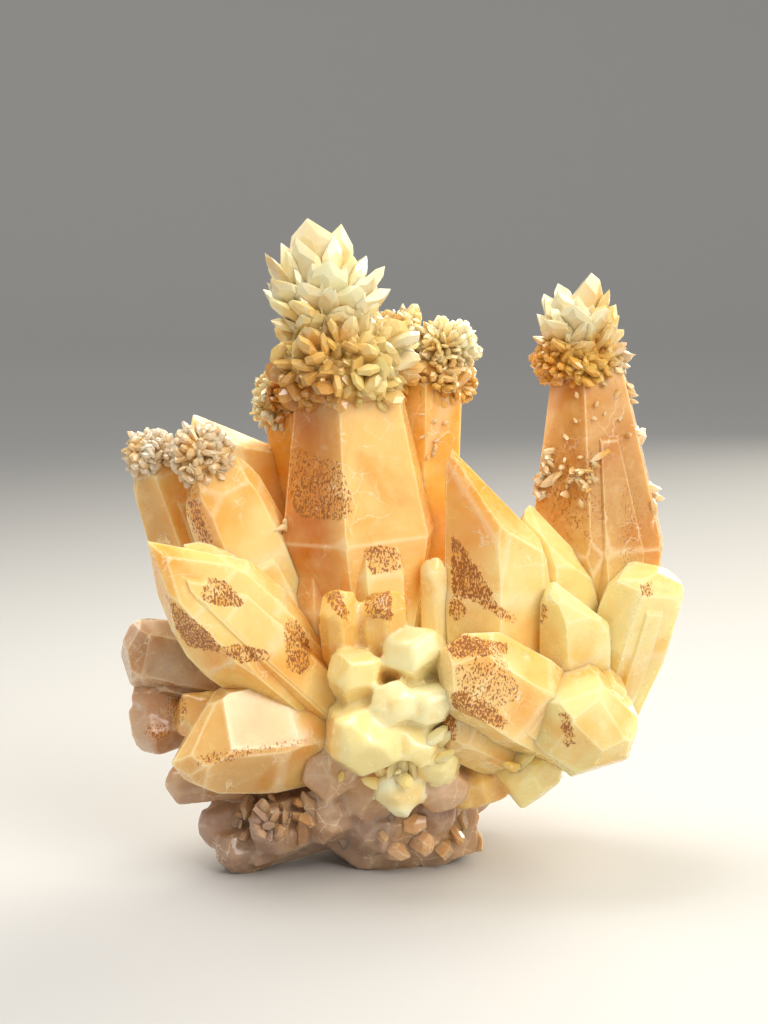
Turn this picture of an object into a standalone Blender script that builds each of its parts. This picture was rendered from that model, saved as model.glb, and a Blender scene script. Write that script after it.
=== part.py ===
"""Calcite specimen: honey-coloured calcite crystals with druse caps, grown together on one foot.

Metres, +Z up. +X is to the right and -Y towards the viewer of the front. The origin is in the middle of
the small flat spot that the specimen rests on. The tables below are in millimetres.
"""

import math
import random

import bmesh
import bpy
from mathutils import Matrix, Vector

# Driving dimensions, in millimetres
MM = 0.001
GAP = 0.3  # between neighbouring nodes
MERGE_DISTANCE = 0.004  # points closer than this are one point after a Boolean
TOWARDS_BACK = Vector((0, 1, 0))

# Colours of the three finishes: base colour, roughness
FINISHES = {
    "honey_calcite": ((0.83, 0.52, 0.19), 0.28),
    "pale_calcite": ((0.86, 0.74, 0.50), 0.30),
    "druse": ((0.93, 0.87, 0.68), 0.35),
}

# Each crystal: root and tip points, width across the front and depth, then its habit.
# taper and flare are the angles of the sides above and below the belly, which is a share of the length.
# point is the angle between the axis and the tip faces; apex moves the tip sideways and forwards.
LARGE_CRYSTALS = {
    "front_right_crystal": dict(
        root=(37, -8, 28), tip=(8.6, -23, 49.0), width=18.5, depth=16, roll=30, taper=3, flare=6,
        point=54, facets=3, apex=(2.0, 0.5), shoulder=1.2, finish="honey_calcite",
    ),
    "lower_front_crystal": dict(
        root=(26, -5, 24), tip=(8.4, -18, 34), width=11.5, depth=11, roll=12, taper=3, flare=0,
        point=54, facets=3, apex=(1.0, 0), shoulder=0.8, finish="honey_calcite",
    ),
    "lower_right_crystal": dict(
        root=(34, 0, 37), tip=(39.0, -27, 31.4), width=20.5, depth=17.5, roll=16, taper=4, flare=6,
        point=64, facets=3, apex=(1.0, 1.0), shoulder=1.6, finish="pale_calcite",
    ),
    "right_front_blade": dict(
        root=(20.6, -4, 36), tip=(11.0, -10, 87.5), crown=(20.2, -8, 84), width=20.4, depth=14, roll=0,
        taper=1, flare=4, point=39, facets=6, shoulder=0.8, finish="honey_calcite",
    ),
    "right_pale_blade": dict(
        root=(36.5, -6, 34), tip=(31.0, -13, 61.5), crown=(34.6, -12, 59), width=14.0, depth=9, roll=8,
        taper=3, flare=3, point=44, facets=6, shoulder=0.8, finish="pale_calcite",
    ),
    "right_rear_blade": dict(
        root=(33.5, 1, 34), tip=(26.6, -4, 75.5), crown=(31.6, -3, 72), width=18.0, depth=11, roll=0,
        taper=4, flare=4, point=36, facets=6, shoulder=0.7, finish="honey_calcite",
    ),
    "right_outer_crystal": dict(
        root=(43.0, -1, 33), tip=(50.8, -6, 63.2), width=15.6, depth=10, roll=4, taper=1, flare=7,
        point=66, facets=3, apex=(1.6, 0), shoulder=1.4, finish="pale_calcite",
    ),
    "left_front_crystal": dict(
        root=(-14.5, -5, 34), tip=(-49.2, -16, 70.2), width=21.6, depth=16, roll=10, taper=3, flare=7,
        point=31, facets=6, apex=(0.5, 1.0), shoulder=1.4, finish="honey_calcite",
    ),
    "lower_left_crystal": dict(
        root=(-9, -3, 29.5), tip=(-44.8, -18, 28.5), width=21.0, depth=16, roll=0, taper=4, flare=4,
        point=50, facets=6, apex=(-2.6, 1.0), shoulder=1.8, finish="honey_calcite",
    ),
    "left_crystal": dict(
        root=(-21, 1, 44), tip=(-38.8, -3, 87.0), width=17.0, depth=14, roll=14, taper=4, flare=3,
        point=40, facets=3, apex=(0.5, 0), shoulder=1.2, finish="honey_calcite",
    ),
    "left_outer_crystal": dict(
        root=(-34, 8, 42), tip=(-49.4, 6, 85.6), width=14.0, depth=12, roll=4, taper=3, flare=2,
        point=50, facets=3, apex=(0.5, 0), shoulder=1.0, finish="honey_calcite",
    ),
    "left_rear_crystal": dict(
        root=(-19, 10, 42), tip=(-41.0, 13, 91.0), crown=(-33.0, 13, 88), width=20.0, depth=10, roll=0,
        taper=3, flare=2, point=47, facets=6, shoulder=0.8, finish="honey_calcite",
    ),
    "middle_column": dict(
        root=(-5.0, -1, 36), tip=(-9.6, 0, 100), width=29.0, depth=24, roll=8, taper=8.5, flare=13,
        belly=0.50, point=84, facets=3, shoulder=0, finish="honey_calcite",
    ),
    "middle_right_column": dict(
        root=(4.5, 9, 42), tip=(6.8, 10, 99), width=13.6, depth=14, roll=0, taper=0.5, flare=2,
        point=80, facets=3, shoulder=0, finish="honey_calcite",
    ),
    "middle_left_column": dict(
        root=(-16, 11, 44), tip=(-20.0, 13, 92), width=12.0, depth=12, roll=10, taper=0.5, flare=2,
        point=80, facets=3, shoulder=0, finish="honey_calcite",
    ),
    "right_column": dict(
        root=(42.2, 8, 40), tip=(38.4, 10, 103), width=27.6, depth=24, roll=6, taper=10, flare=14,
        belly=0.38, point=82, facets=3, shoulder=0, finish="honey_calcite",
    ),
    "far_left_crystal": dict(
        root=(-30, 8, 36.5), tip=(-55.6, 2, 44.0), width=14.0, depth=13, roll=18, taper=1, flare=4,
        point=68, facets=3, apex=(2.2, 0), shoulder=1.2, finish="pale_calcite",
    ),
    "back_left_crystal": dict(
        root=(-19, 12, 36), tip=(-30, 32, 70), width=15.5, depth=14, roll=5, taper=4, flare=4,
        point=44, facets=6, shoulder=1.4, finish="honey_calcite",
    ),
    "back_middle_crystal": dict(
        root=(1, 15, 36), tip=(3, 31, 82), width=18.0, depth=15, roll=12, taper=4, flare=4,
        point=40, facets=3, shoulder=1.6, finish="honey_calcite",
    ),
    "back_right_crystal": dict(
        root=(23, 12, 34), tip=(29, 35, 63), width=15.5, depth=13, roll=0, taper=4, flare=5,
        point=46, facets=3, shoulder=1.2, finish="honey_calcite",
    ),
    "back_low_crystal": dict(
        root=(4, 12, 26), tip=(8, 38, 34), width=17.0, depth=15, roll=22, taper=5, flare=4,
        point=54, facets=3, shoulder=1.6, finish="pale_calcite",
    ),
}

# The small blunt crystals of the front and the underside, which are one solid with the foot
SMALL_CRYSTALS = [
    dict(root=(-10, -6, 40), tip=(-11.4, -18.5, 61.0), width=8.0, depth=7, roll=10, point=38, facets=3),
    dict(root=(-1.5, -6, 40), tip=(-2.4, -18, 60.6), width=9.2, depth=7.5, roll=0, point=42, facets=3),
    dict(root=(-6, -5, 35), tip=(-8.6, -21, 47.0), width=10.6, depth=9, roll=25, point=52, facets=3),
    dict(root=(6, -3, 40), tip=(3.0, -21, 50.5), width=12, depth=9, roll=5, point=60, facets=3),
    dict(root=(3, -5, 34), tip=(-0.8, -25, 40.0), width=9.2, depth=8.4, roll=12, point=62, facets=6),
    dict(root=(8, -4, 36), tip=(6.2, -25, 38.6), width=9.0, depth=8.2, roll=20, point=64, facets=6),
    dict(root=(9, -2, 42), tip=(7.6, -10, 66.0), width=6.4, depth=5, roll=0, point=34, facets=3),
    dict(
        root=(-8, -3, 31), tip=(-5.2, -28, 31.0), width=13.4, depth=12.8, roll=8, point=70, facets=6,
        shoulder=0.8,
    ),
    dict(root=(5, -3, 28), tip=(3.2, -23, 30.0), width=9.4, depth=8, roll=30, point=60, facets=3),
    dict(root=(8, -3, 27), tip=(8.6, -20, 24.6), width=8.4, depth=8, roll=10, point=62, facets=6),
    dict(root=(3, 0, 22), tip=(0.2, -19, 18.6), width=10.4, depth=9, roll=0, point=64, facets=6),
    dict(root=(8, 0, 22), tip=(9.6, -16, 18.0), width=10.6, depth=9.4, roll=15, point=68, facets=6),
    dict(root=(15, 0, 24), tip=(18.6, -11, 15.5), width=9.8, depth=8.6, roll=6, point=58, facets=3),
    dict(root=(21, -2, 27), tip=(29.4, -16, 18.8), width=11.4, depth=10, roll=18, point=56, facets=3),
    dict(root=(-14, -2, 24), tip=(-12.0, -17, 22.0), width=12, depth=9.6, roll=11, point=62, facets=3),
    dict(root=(-37, 9, 31), tip=(-53.4, 0, 26.5), width=11.0, depth=10, roll=4, point=60, facets=3),
    dict(root=(-36, 8, 34), tip=(-53.6, 1, 34.0), width=8.6, depth=8, roll=14, point=56, facets=3),
    dict(root=(-32, 4, 30), tip=(-43.0, -6, 32.0), width=9.6, depth=9, roll=0, point=64, facets=3),
    dict(root=(-16, 2, 20), tip=(-47.0, -8, 17.8), width=8.6, depth=8, roll=6, point=60, facets=6),
    dict(root=(-10, 5, 14), tip=(-40.6, -4, 7.4), width=8.8, depth=8, roll=16, point=60, facets=6),
    dict(root=(-6, 5, 10), tip=(-36.6, -8, 2.8), width=9.6, depth=9, roll=2, point=62, facets=6),
    dict(root=(-6, 2, 15), tip=(-29.0, -13, 9.0), width=11.0, depth=9.6, roll=9, point=54, facets=3),
    dict(root=(-3, 4, 13), tip=(-18.0, -13, 12.4), width=11.0, depth=10, roll=20, point=60, facets=3),
    dict(root=(0, 5, 12), tip=(-6.6, -11, 7.6), width=10.4, depth=9, roll=4, point=62, facets=6),
    dict(root=(4, 6, 13), tip=(9.4, -8, 10.0), width=10.0, depth=9, roll=14, point=60, facets=3),
    dict(root=(-30, 10, 28), tip=(-46.0, 22, 30.0), width=13, depth=12, roll=9, point=54, facets=3),
    dict(root=(-12, 14, 22), tip=(-19.0, 34, 24.0), width=14, depth=13, roll=3, point=56, facets=3),
    dict(root=(24, 10, 26), tip=(33.0, 28, 23.0), width=13, depth=12, roll=12, point=56, facets=3),
    dict(root=(36, 8, 33), tip=(51.0, 19, 36.0), width=13, depth=11, roll=0, point=54, facets=3),
    dict(root=(6, 12, 14), tip=(20.0, 24, 8.0), width=11, depth=10, roll=5, point=58, facets=3),
    dict(root=(-4, 12, 12), tip=(-13.0, 26, 7.6), width=11, depth=10, roll=25, point=58, facets=3),
]

# How uneven the crystals are: the spread of their sides' distances, the share of a small face's cut that
# every second one gets, and how far the faces of a six-faced point may lie back
SIDE_SPREAD = 0.06
SMALLER_SHOULDER = 0.35
POINT_INSET = 0.5

# The rough rock under the crystals: centre and half-sizes of each lump
FOOT_LUMPS = [
    dict(centre=(-2, 5, 31), radii=(36, 16, 12), seed=3),
    dict(centre=(24, 3, 33), radii=(19, 13, 10), seed=5),
    dict(centre=(-3, 6, 19), radii=(18, 13, 10), seed=8),
    dict(centre=(-1, 4, 8), radii=(14, 12.5, 11.5), seed=11),
]
FOOT_FACETS = 14
LUMP_SPREAD = 0.07  # of the distances of a lump's faces, as a share

# Each druse cap: the columns under it, its core lumps, and the rows of crystallites that cover them.
# A row spreads crystallites over a lump, within a cone about its pole. Reach is how much longer those
# near the pole are than those at the rim of the cone. A spray's blades fan out from its centre, each
# with its tip and its width.
DRUSE_CAPS = {
    "middle_druse_cap": dict(
        columns=("middle_column", "middle_right_column", "middle_left_column"),
        lumps=[
            dict(centre=(-10.6, 0, 102.0), radii=(11.8, 11.0, 9.4), seed=21),
            dict(centre=(-13.4, 0, 110.6), radii=(6.8, 6.4, 6.2), seed=22),
            dict(centre=(8.2, 9.5, 98.4), radii=(7.0, 6.8, 5.4), seed=23),
            dict(centre=(10.4, 9.3, 104.0), radii=(4.6, 4.6, 4.4), seed=24),
            dict(centre=(0.6, 11.0, 106.5), radii=(4.2, 4.2, 4.0), seed=25),
        ],
        rows=[
            dict(
                lump=0, count=23, cone=126, length=4.6, reach=1.2, radius=3.7,
                pole=(0.1, -0.2, 1), seed=1,
            ),
            dict(
                lump=2, count=7, cone=116, length=2.2, reach=1.0, radius=2.0,
                pole=(0.3, -0.2, 0.6), seed=3,
            ),
            dict(
                lump=3, count=11, cone=100, length=3.0, reach=1.3, radius=1.9,
                pole=(0.3, -0.2, 1), seed=4,
            ),
            dict(
                lump=4, count=5, cone=84, length=2.8, reach=1.2, radius=1.8,
                pole=(0.1, 0.1, 1), seed=5,
            ),
        ],
        spray=dict(centre=(-13.6, -0.5, 109.0), seed=14, blades=[
            ((-17.0, 0, 131.2), 9.0), ((-10.6, 2, 129.4), 6.4), ((-23.6, 1, 128.2), 7.0),
            ((-25.0, -2, 123.6), 6.0),
            ((-24.6, -6, 120.4), 7.4), ((-12.6, -9, 124.0), 7.0), ((-5.4, -1, 124.6), 7.4),
            ((-2.6, 2, 121.0), 6.4),
            ((-1.4, -3, 117.6), 6.8), ((-18.4, -9, 120.6), 7.0), ((-8.0, -9, 118.8), 6.4),
            ((-16.0, 11, 123.0), 7.4), ((-6.0, 10, 120.6), 6.8), ((-23.0, 8, 120.4), 6.8),
        ]),
    ),
    "middle_left_druse": dict(
        columns=("middle_left_column", "left_rear_crystal", "middle_column"),
        lumps=[dict(centre=(-23.0, 12.5, 93.4), radii=(4.6, 5.8, 5.6), seed=26)],
        rows=[
            dict(
                lump=0, count=7, cone=112, length=2.2, reach=1.2, radius=2.0,
                pole=(-0.5, -0.1, 1), seed=6,
            ),
        ],
    ),
    "right_druse_cap": dict(
        columns=("right_column",),
        lumps=[
            dict(centre=(37.4, 10, 101.5), radii=(7.8, 7.6, 4.9), seed=27),
            dict(centre=(37.0, 9.6, 106.0), radii=(6.4, 6.2, 5.0), seed=28),
        ],
        rows=[
            dict(
                lump=0, count=15, cone=118, length=3.0, reach=1.0, radius=2.9,
                pole=(0, -0.1, 1), seed=7,
            ),
        ],
        spray=dict(centre=(37.4, 9.6, 102.6), seed=10, blades=[
            ((29.0, 9, 116.4), 6.4), ((32.8, 11, 119.0), 6.8), ((38.6, 10, 120.0), 6.4),
            ((43.0, 9, 116.4), 5.8),
            ((46.0, 10, 112.0), 5.8), ((35.4, 0.6, 115.4), 6.6), ((41.0, 1.6, 113.6), 6.0),
            ((30.2, 2.6, 110.8), 5.8),
            ((33.6, 18.4, 114.0), 6.4), ((41.8, 17.6, 113.4), 6.0),
        ]),
    ),
    "left_outer_druse": dict(
        columns=("left_outer_crystal", "left_crystal", "left_rear_crystal"),
        lumps=[dict(centre=(-49.0, 5.0, 83.6), radii=(4.2, 4.6, 3.8), seed=29)],
        rows=[
            dict(
                lump=0, count=7, cone=112, length=2.0, reach=1.2, radius=2.0,
                pole=(-0.2, -0.3, 1), seed=9,
            ),
        ],
    ),
    "left_druse": dict(
        columns=("left_crystal", "left_outer_crystal", "left_rear_crystal"),
        lumps=[dict(centre=(-38.2, -3.2, 84.4), radii=(5.2, 5.0, 5.2), seed=30)],
        rows=[
            dict(
                lump=0, count=9, cone=116, length=2.0, reach=1.2, radius=2.2,
                pole=(0, -0.4, 1), seed=10,
            ),
        ],
    ),
}
LUMP_FACETS = 12

# The habit of the druse's crystallites: leaves that are widest above their middle
LEAF_FLATNESS = 0.66  # thickness as a share of the width
LEAF_FOOT = 0.66  # width at the foot as a share of the widest
LEAF_GIRDLE = 0.68  # height of the widest place as a share of the length
LEAF_ZIGZAG = 0.09  # rise and fall of the girdle as a share of the length

# How unevenly the crystallites of a row stand: their lean, their length and radius as shares of the row's,
# and how deep they are sunk, as a share of the radius
ROW_LEAN = 0.22
ROW_LENGTHS = (0.8, 1.2)
ROW_RADII = (0.85, 1.2)
ROW_SUNK = 1.1
LEAF_TURN = 0.5  # spread of a leaf's turn about its length, in radians

# Single crystallites that sit on the faces of the right column, as height on it and turn round it
COLUMN_STUDS = [
    (0.76, -4), (0.62, 2), (0.48, -6), (0.56, 176), (0.54, -112), (0.62, -84),
]
STUD_LENGTH = 2.4
STUD_RADIUS = 1.4


def clear_scene():
    for obj in list(bpy.data.objects):
        bpy.data.objects.remove(obj)


def finish(name):
    """The Principled material of one finish, made once."""
    if name in bpy.data.materials:
        return bpy.data.materials[name]
    colour, roughness = FINISHES[name]
    material = bpy.data.materials.new(name)
    material.use_nodes = True
    shader = material.node_tree.nodes["Principled BSDF"]
    shader.inputs["Base Color"].default_value = (*colour, 1)
    shader.inputs["Roughness"].default_value = roughness
    shader.inputs["Metallic"].default_value = 0
    return material


def axes_of(direction):
    """Two directions square to this one: to the right as seen from the front, and towards the viewer."""
    side = TOWARDS_BACK.cross(direction)
    if side.length < 0.35:
        side = Vector((1, 0, 0)) - direction * direction.x
    side.normalize()
    return side, side.cross(direction)


def cleave(solid, point, normal):
    """Splits off what lies beyond a plane and closes the cut with one flat face."""
    everything = solid.verts[:] + solid.edges[:] + solid.faces[:]
    cut = bmesh.ops.bisect_plane(
        solid, geom=everything, dist=1e-5, plane_co=point, plane_no=normal, clear_outer=True
    )
    rim = [piece for piece in cut["geom_cut"] if isinstance(piece, bmesh.types.BMEdge)]
    if len(rim) > 2:
        bmesh.ops.edgenet_fill(solid, edges=rim)


def block(centre, side, front, axis, reach):
    """A cube of solid calcite, turned to a crystal's axes, to cleave the crystal from."""
    solid = bmesh.new()
    turn = Matrix((side, front, axis)).transposed().to_4x4()
    bmesh.ops.create_cube(solid, size=2 * reach, matrix=Matrix.Translation(centre) @ turn)
    return solid


def crystal(root, tip, width, depth, roll=0, taper=2, flare=0, belly=0.45, point=45, facets=3,
            apex=(0, 0), crown=None, shoulder=0.0, grow=0.0, finish=None):
    """One crystal with flat faces: six sides, a pointed end of 3 or 6 faces, and small faces between."""
    chance = random.Random(f"{root}{tip}")
    root = Vector(root)
    tip = Vector(tip)
    crown = Vector(crown) if crown else tip
    axis = (crown - root).normalized()
    side, front = axes_of(axis)
    length = (crown - root).length
    tip = tip + side * apex[0] + front * apex[1]
    taper, flare, point = (math.radians(angle) for angle in (taper, flare, point))
    middle = root + axis * length * belly
    solid = block(root + axis * length / 2, side, front, axis, length + width)
    for k in range(6):
        turn = math.radians(roll + 60 * k)
        outward = side * math.cos(turn) + front * math.sin(turn)
        reach = math.hypot(width / 2 * math.cos(turn), depth / 2 * math.sin(turn))
        reach *= 1 + SIDE_SPREAD * chance.uniform(-1, 1)
        upper = outward * math.cos(taper) + axis * math.sin(taper)
        cleave(solid, middle + outward * reach + upper * grow, upper)
        if flare:
            lower = outward * math.cos(flare) - axis * math.sin(flare)
            cleave(solid, middle + outward * reach + lower * grow, lower)
        if shoulder:
            slope = (taper + point) / 2
            beyond = (tip - middle).dot(outward) - reach
            rise = (tip - middle).dot(axis) * math.tan(point) + beyond
            rise /= math.tan(point) - math.tan(taper)
            corner = middle + outward * (reach - rise * math.tan(taper)) + axis * rise
            between = outward * math.cos(slope) + axis * math.sin(slope)
            depth_cut = shoulder * (1 if k % 2 else SMALLER_SHOULDER)
            cleave(solid, corner + between * (grow - depth_cut), between)
    for k in range(facets):
        turn = math.radians(roll + 30 + 360 / facets * k)
        outward = side * math.cos(turn) + front * math.sin(turn)
        face = outward * math.cos(point) + axis * math.sin(point)
        inset = POINT_INSET * chance.random() if facets == 6 else 0.0
        cleave(solid, tip + face * (grow - inset), face)
    cleave(solid, root - axis * grow, -axis)
    return solid


def lump(centre, radii, seed, facets=LUMP_FACETS, grow=0.0):
    """A rough faceted lump: an ellipsoid cut from a block by planes spread evenly round it."""
    chance = random.Random(seed)
    centre = Vector(centre)
    reach = Vector(radii)
    solid = block(centre, Vector((1, 0, 0)), Vector((0, 1, 0)), Vector((0, 0, 1)), max(radii) * 1.3)
    for normal in spread(facets, chance):
        support = math.sqrt(sum((normal[i] * reach[i]) ** 2 for i in range(3)))
        support *= 1 + LUMP_SPREAD * chance.uniform(-1, 1)
        cleave(solid, centre + normal * (support + grow), normal)
    return solid


def spread(count, chance, cone=180.0):
    """Directions spread evenly over a cone about +Z by the golden angle, each a little off its place."""
    golden = math.pi * (3 - math.sqrt(5))
    lowest = math.cos(math.radians(cone))
    for k in range(count):
        height = 1 - (1 - lowest) * (k + 0.5) / count
        turn = golden * k + chance.uniform(-0.3, 0.3)
        flat = math.sqrt(max(0.0, 1 - height * height))
        yield Vector((flat * math.cos(turn), flat * math.sin(turn), height))


def crystallite(foot, direction, across, length, radius, grow=0.0):
    """A small leaf-shaped crystal: six sides that widen to a zigzag girdle, and six faces to the point."""
    thick = across.cross(direction)
    girdle = LEAF_GIRDLE * length
    solid = bmesh.new()
    rings = []
    for height, share, zigzag in ((-grow, LEAF_FOOT, 0.0), (girdle, 1.0, LEAF_ZIGZAG * length)):
        ring = []
        for k in range(6):
            angle = math.pi / 3 * k
            spoke = across * math.cos(angle) + thick * math.sin(angle) * LEAF_FLATNESS
            rise = height + (zigzag if k % 2 else -zigzag)
            corner = foot + direction * rise + spoke * (radius * share) + spoke.normalized() * 1.3 * grow
            ring.append(solid.verts.new(corner))
        rings.append(ring)
    peak = solid.verts.new(foot + direction * (length + 1.8 * grow))
    solid.faces.new(rings[0])
    for k in range(6):
        after = (k + 1) % 6
        solid.faces.new((rings[0][k], rings[0][after], rings[1][after], rings[1][k]))
        solid.faces.new((rings[1][k], rings[1][after], peak))
    bmesh.ops.triangulate(solid, faces=[face for face in solid.faces if len(face.verts) == 4])
    return solid


def spray_places(spray, chance):
    """The blades of a spray in the form that crystallite() takes."""
    centre = Vector(spray["centre"])
    for tip, width in spray["blades"]:
        way = Vector(tip) - centre
        direction = way.normalized()
        yield centre, direction, square_to(direction, chance), way.length, width / 2


def square_to(direction, chance):
    """A direction square to this one: mostly level, as the leaves of a spray stand, and turned a little."""
    level = Vector((0, 0, 1)).cross(direction)
    if level.length < 0.2:
        level = Vector((1, 0, 0)) - direction * direction.x
    return Matrix.Rotation(chance.gauss(0, LEAF_TURN), 3, direction) @ level.normalized()


def cap_places(cap):
    """Foot, direction, width direction, length and radius of every crystallite of a cap."""
    for row in cap["rows"]:
        yield from row_places(cap, row, random.Random(row["seed"]))
    if "spray" in cap:
        yield from spray_places(cap["spray"], random.Random(cap["spray"]["seed"]))


def row_places(cap, row, chance):
    base = cap["lumps"][row["lump"]]
    centre, radii = Vector(base["centre"]), Vector(base["radii"])
    pole = Vector(row["pole"]).normalized()
    tilt = Vector((0, 0, 1)).rotation_difference(pole)
    lowest = math.cos(math.radians(row["cone"]))
    for normal in spread(row["count"], chance, row["cone"]):
        upness = (normal.z - lowest) / (1 - lowest)
        normal = tilt @ normal
        surface = centre + Vector(normal[i] * radii[i] for i in range(3))
        wander = Vector(chance.uniform(-ROW_LEAN, ROW_LEAN) for _ in range(3))
        direction = (normal + wander).normalized()
        length = row["length"] * (1 + (row["reach"] - 1) * upness) * chance.uniform(*ROW_LENGTHS)
        radius = row["radius"] * chance.uniform(*ROW_RADII)
        sunk = ROW_SUNK * row["radius"]
        yield surface - direction * sunk, direction, square_to(direction, chance), length + sunk, radius


def stud_places():
    """The crystallites on the right column: they stand where a ray from its axis meets its sides."""
    habit = LARGE_CRYSTALS["right_column"]
    root, tip = Vector(habit["root"]), Vector(habit["tip"])
    axis = (tip - root).normalized()
    side, front = axes_of(axis)
    length = (tip - root).length
    chance = random.Random(40)
    for share, degrees in COLUMN_STUDS:
        turn = math.radians(degrees)
        outward = side * math.cos(turn) - front * math.sin(turn)
        reach = math.hypot(habit["width"] / 2 * math.cos(turn), habit["depth"] / 2 * math.sin(turn))
        reach -= abs(share - habit["belly"]) * length * math.tan(math.radians(habit["taper"]))
        foot = root + axis * share * length + outward * (reach - STUD_LENGTH)
        lean = (outward + axis * chance.uniform(-0.1, 0.5)).normalized()
        yield foot, lean, square_to(lean, chance), 2 * STUD_LENGTH, STUD_RADIUS


def as_object(name, solid, helper=True):
    """Makes an object of a bmesh that is in millimetres. A helper takes no part in the render."""
    bmesh.ops.scale(solid, vec=(MM, MM, MM), verts=solid.verts)
    bmesh.ops.recalc_face_normals(solid, faces=solid.faces)
    mesh = bpy.data.meshes.new(name)
    solid.to_mesh(mesh)
    solid.free()
    obj = bpy.data.objects.new(name, mesh)
    bpy.context.scene.collection.objects.link(obj)
    if helper:
        obj.hide_render = True
        obj.display_type = "WIRE"
    return obj


def box_of(obj):
    points = [vert.co for vert in obj.data.vertices]
    low = Vector(min(point[i] for point in points) for i in range(3))
    high = Vector(max(point[i] for point in points) for i in range(3))
    return low, high


def meet(first, second):
    """True if the boxes of two objects touch."""
    (low_a, high_a), (low_b, high_b) = box_of(first), box_of(second)
    return all(low_a[i] < high_b[i] and low_b[i] < high_a[i] for i in range(3))


def combine(obj, others, operation):
    """Joins the others to an object all at once, or cuts them from it one by one."""
    if operation == "UNION":
        group = bpy.data.collections.new(f"{obj.name}_joined")
        for other in others:
            group.objects.link(other)
        apply_boolean(obj, operation, group=group)
        bpy.data.collections.remove(group)
        return
    for other in others:
        if meet(obj, other):
            apply_boolean(obj, operation, other=other)


def apply_boolean(obj, operation, other=None, group=None):
    modifier = obj.modifiers.new(operation.lower(), "BOOLEAN")
    modifier.operation = operation
    modifier.solver = "EXACT"
    if group:
        modifier.operand_type = "COLLECTION"
        modifier.collection = group
    else:
        modifier.object = other
    graph = bpy.context.evaluated_depsgraph_get()
    mesh = bpy.data.meshes.new_from_object(obj.evaluated_get(graph))
    obj.modifiers.clear()
    obj.data = mesh
    tidy(obj)


def tidy(obj):
    """Merges points that a Boolean left almost together, and keeps only the largest body."""
    solid = bmesh.new()
    solid.from_mesh(obj.data)
    bmesh.ops.remove_doubles(solid, verts=solid.verts, dist=MERGE_DISTANCE * MM)
    bmesh.ops.dissolve_degenerate(solid, edges=solid.edges, dist=MERGE_DISTANCE * MM)
    waiting = set(solid.verts)
    bodies = []
    while waiting:
        body = {waiting.pop()}
        newest = list(body)
        while newest:
            vert = newest.pop()
            for edge in vert.link_edges:
                other = edge.other_vert(vert)
                if other not in body:
                    body.add(other)
                    newest.append(other)
        waiting -= body
        bodies.append(body)
    bodies.sort(key=len, reverse=True)
    crumbs = [vert for body in bodies[1:] for vert in body]
    bmesh.ops.delete(solid, geom=crumbs, context="VERTS")
    solid.to_mesh(obj.data)
    solid.free()


def trim_to_rest(obj):
    """Cuts an object flat at the level of the surface that the specimen rests on."""
    solid = bmesh.new()
    solid.from_mesh(obj.data)
    cleave(solid, Vector((0, 0, 0)), Vector((0, 0, -1)))
    solid.to_mesh(obj.data)
    solid.free()


def build_large_crystals(small_cutters):
    """The large crystals, each cut back from the small ones and from those before it."""
    cutters, solids = dict(), dict()
    for name, habit in LARGE_CRYSTALS.items():
        obj = as_object(name, crystal(**habit), helper=False)
        obj.data.materials.append(finish(habit["finish"]))
        if name == "right_column":
            studs = [
                as_object(f"stud_{k}", crystallite(*place)) for k, place in enumerate(stud_places())
            ]
            combine(obj, studs, "UNION")
        combine(obj, small_cutters + list(cutters.values()), "DIFFERENCE")
        cutters[name] = as_object(f"{name}_cutter", crystal(**{**habit, "grow": GAP}))
        solids[name] = obj
    return solids, cutters


def build_foot(smalls, cutters):
    """The rough foot, cut back from the large crystals and joined with the small ones."""
    lumps = [
        as_object(f"foot_lump_{k}", lump(facets=FOOT_FACETS, **size)) for k, size in enumerate(FOOT_LUMPS)
    ]
    foot = as_object("base_cluster", lump(facets=FOOT_FACETS, **FOOT_LUMPS[0]), helper=False)
    combine(foot, lumps[1:], "UNION")
    combine(foot, list(cutters.values()), "DIFFERENCE")
    combine(foot, smalls, "UNION")
    trim_to_rest(foot)
    foot.data.materials.append(finish("pale_calcite"))
    return foot


def build_cap(name, cap, cutters, earlier):
    """One druse cap: its lumps joined with its crystallites, hollowed where the columns end in it."""
    cores = [as_object(f"{name}_core_{k}", lump(**size)) for k, size in enumerate(cap["lumps"])]
    points = [as_object(f"{name}_crystallite", crystallite(*place)) for place in cap_places(cap)]
    obj = as_object(name, lump(**cap["lumps"][0]), helper=False)
    combine(obj, cores[1:] + points, "UNION")
    combine(obj, [cutters[column] for column in cap["columns"]] + earlier, "DIFFERENCE")
    obj.data.materials.append(finish("druse"))
    return obj


def grown_cap(name, cap):
    """A cap's lumps and crystallites, larger all round by the gap, to keep its neighbours clear of it."""
    shapes = [lump(**size, grow=GAP) for size in cap["lumps"]]
    shapes += [crystallite(*place, grow=GAP) for place in cap_places(cap)]
    return [as_object(f"{name}_clearance", shape) for shape in shapes]


def main():
    clear_scene()
    smalls = [as_object(f"small_{k}", crystal(**habit)) for k, habit in enumerate(SMALL_CRYSTALS)]
    small_cutters = [
        as_object(f"small_{k}_cutter", crystal(**habit, grow=GAP)) for k, habit in enumerate(SMALL_CRYSTALS)
    ]
    solids, cutters = build_large_crystals(small_cutters)
    build_foot(smalls, cutters)
    earlier = []
    for name, cap in DRUSE_CAPS.items():
        build_cap(name, cap, cutters, earlier)
        earlier += grown_cap(name, cap)


main()
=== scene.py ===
import math
import random

import bmesh
import bpy
import numpy as np
from mathutils import Matrix, Vector, noise


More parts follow.
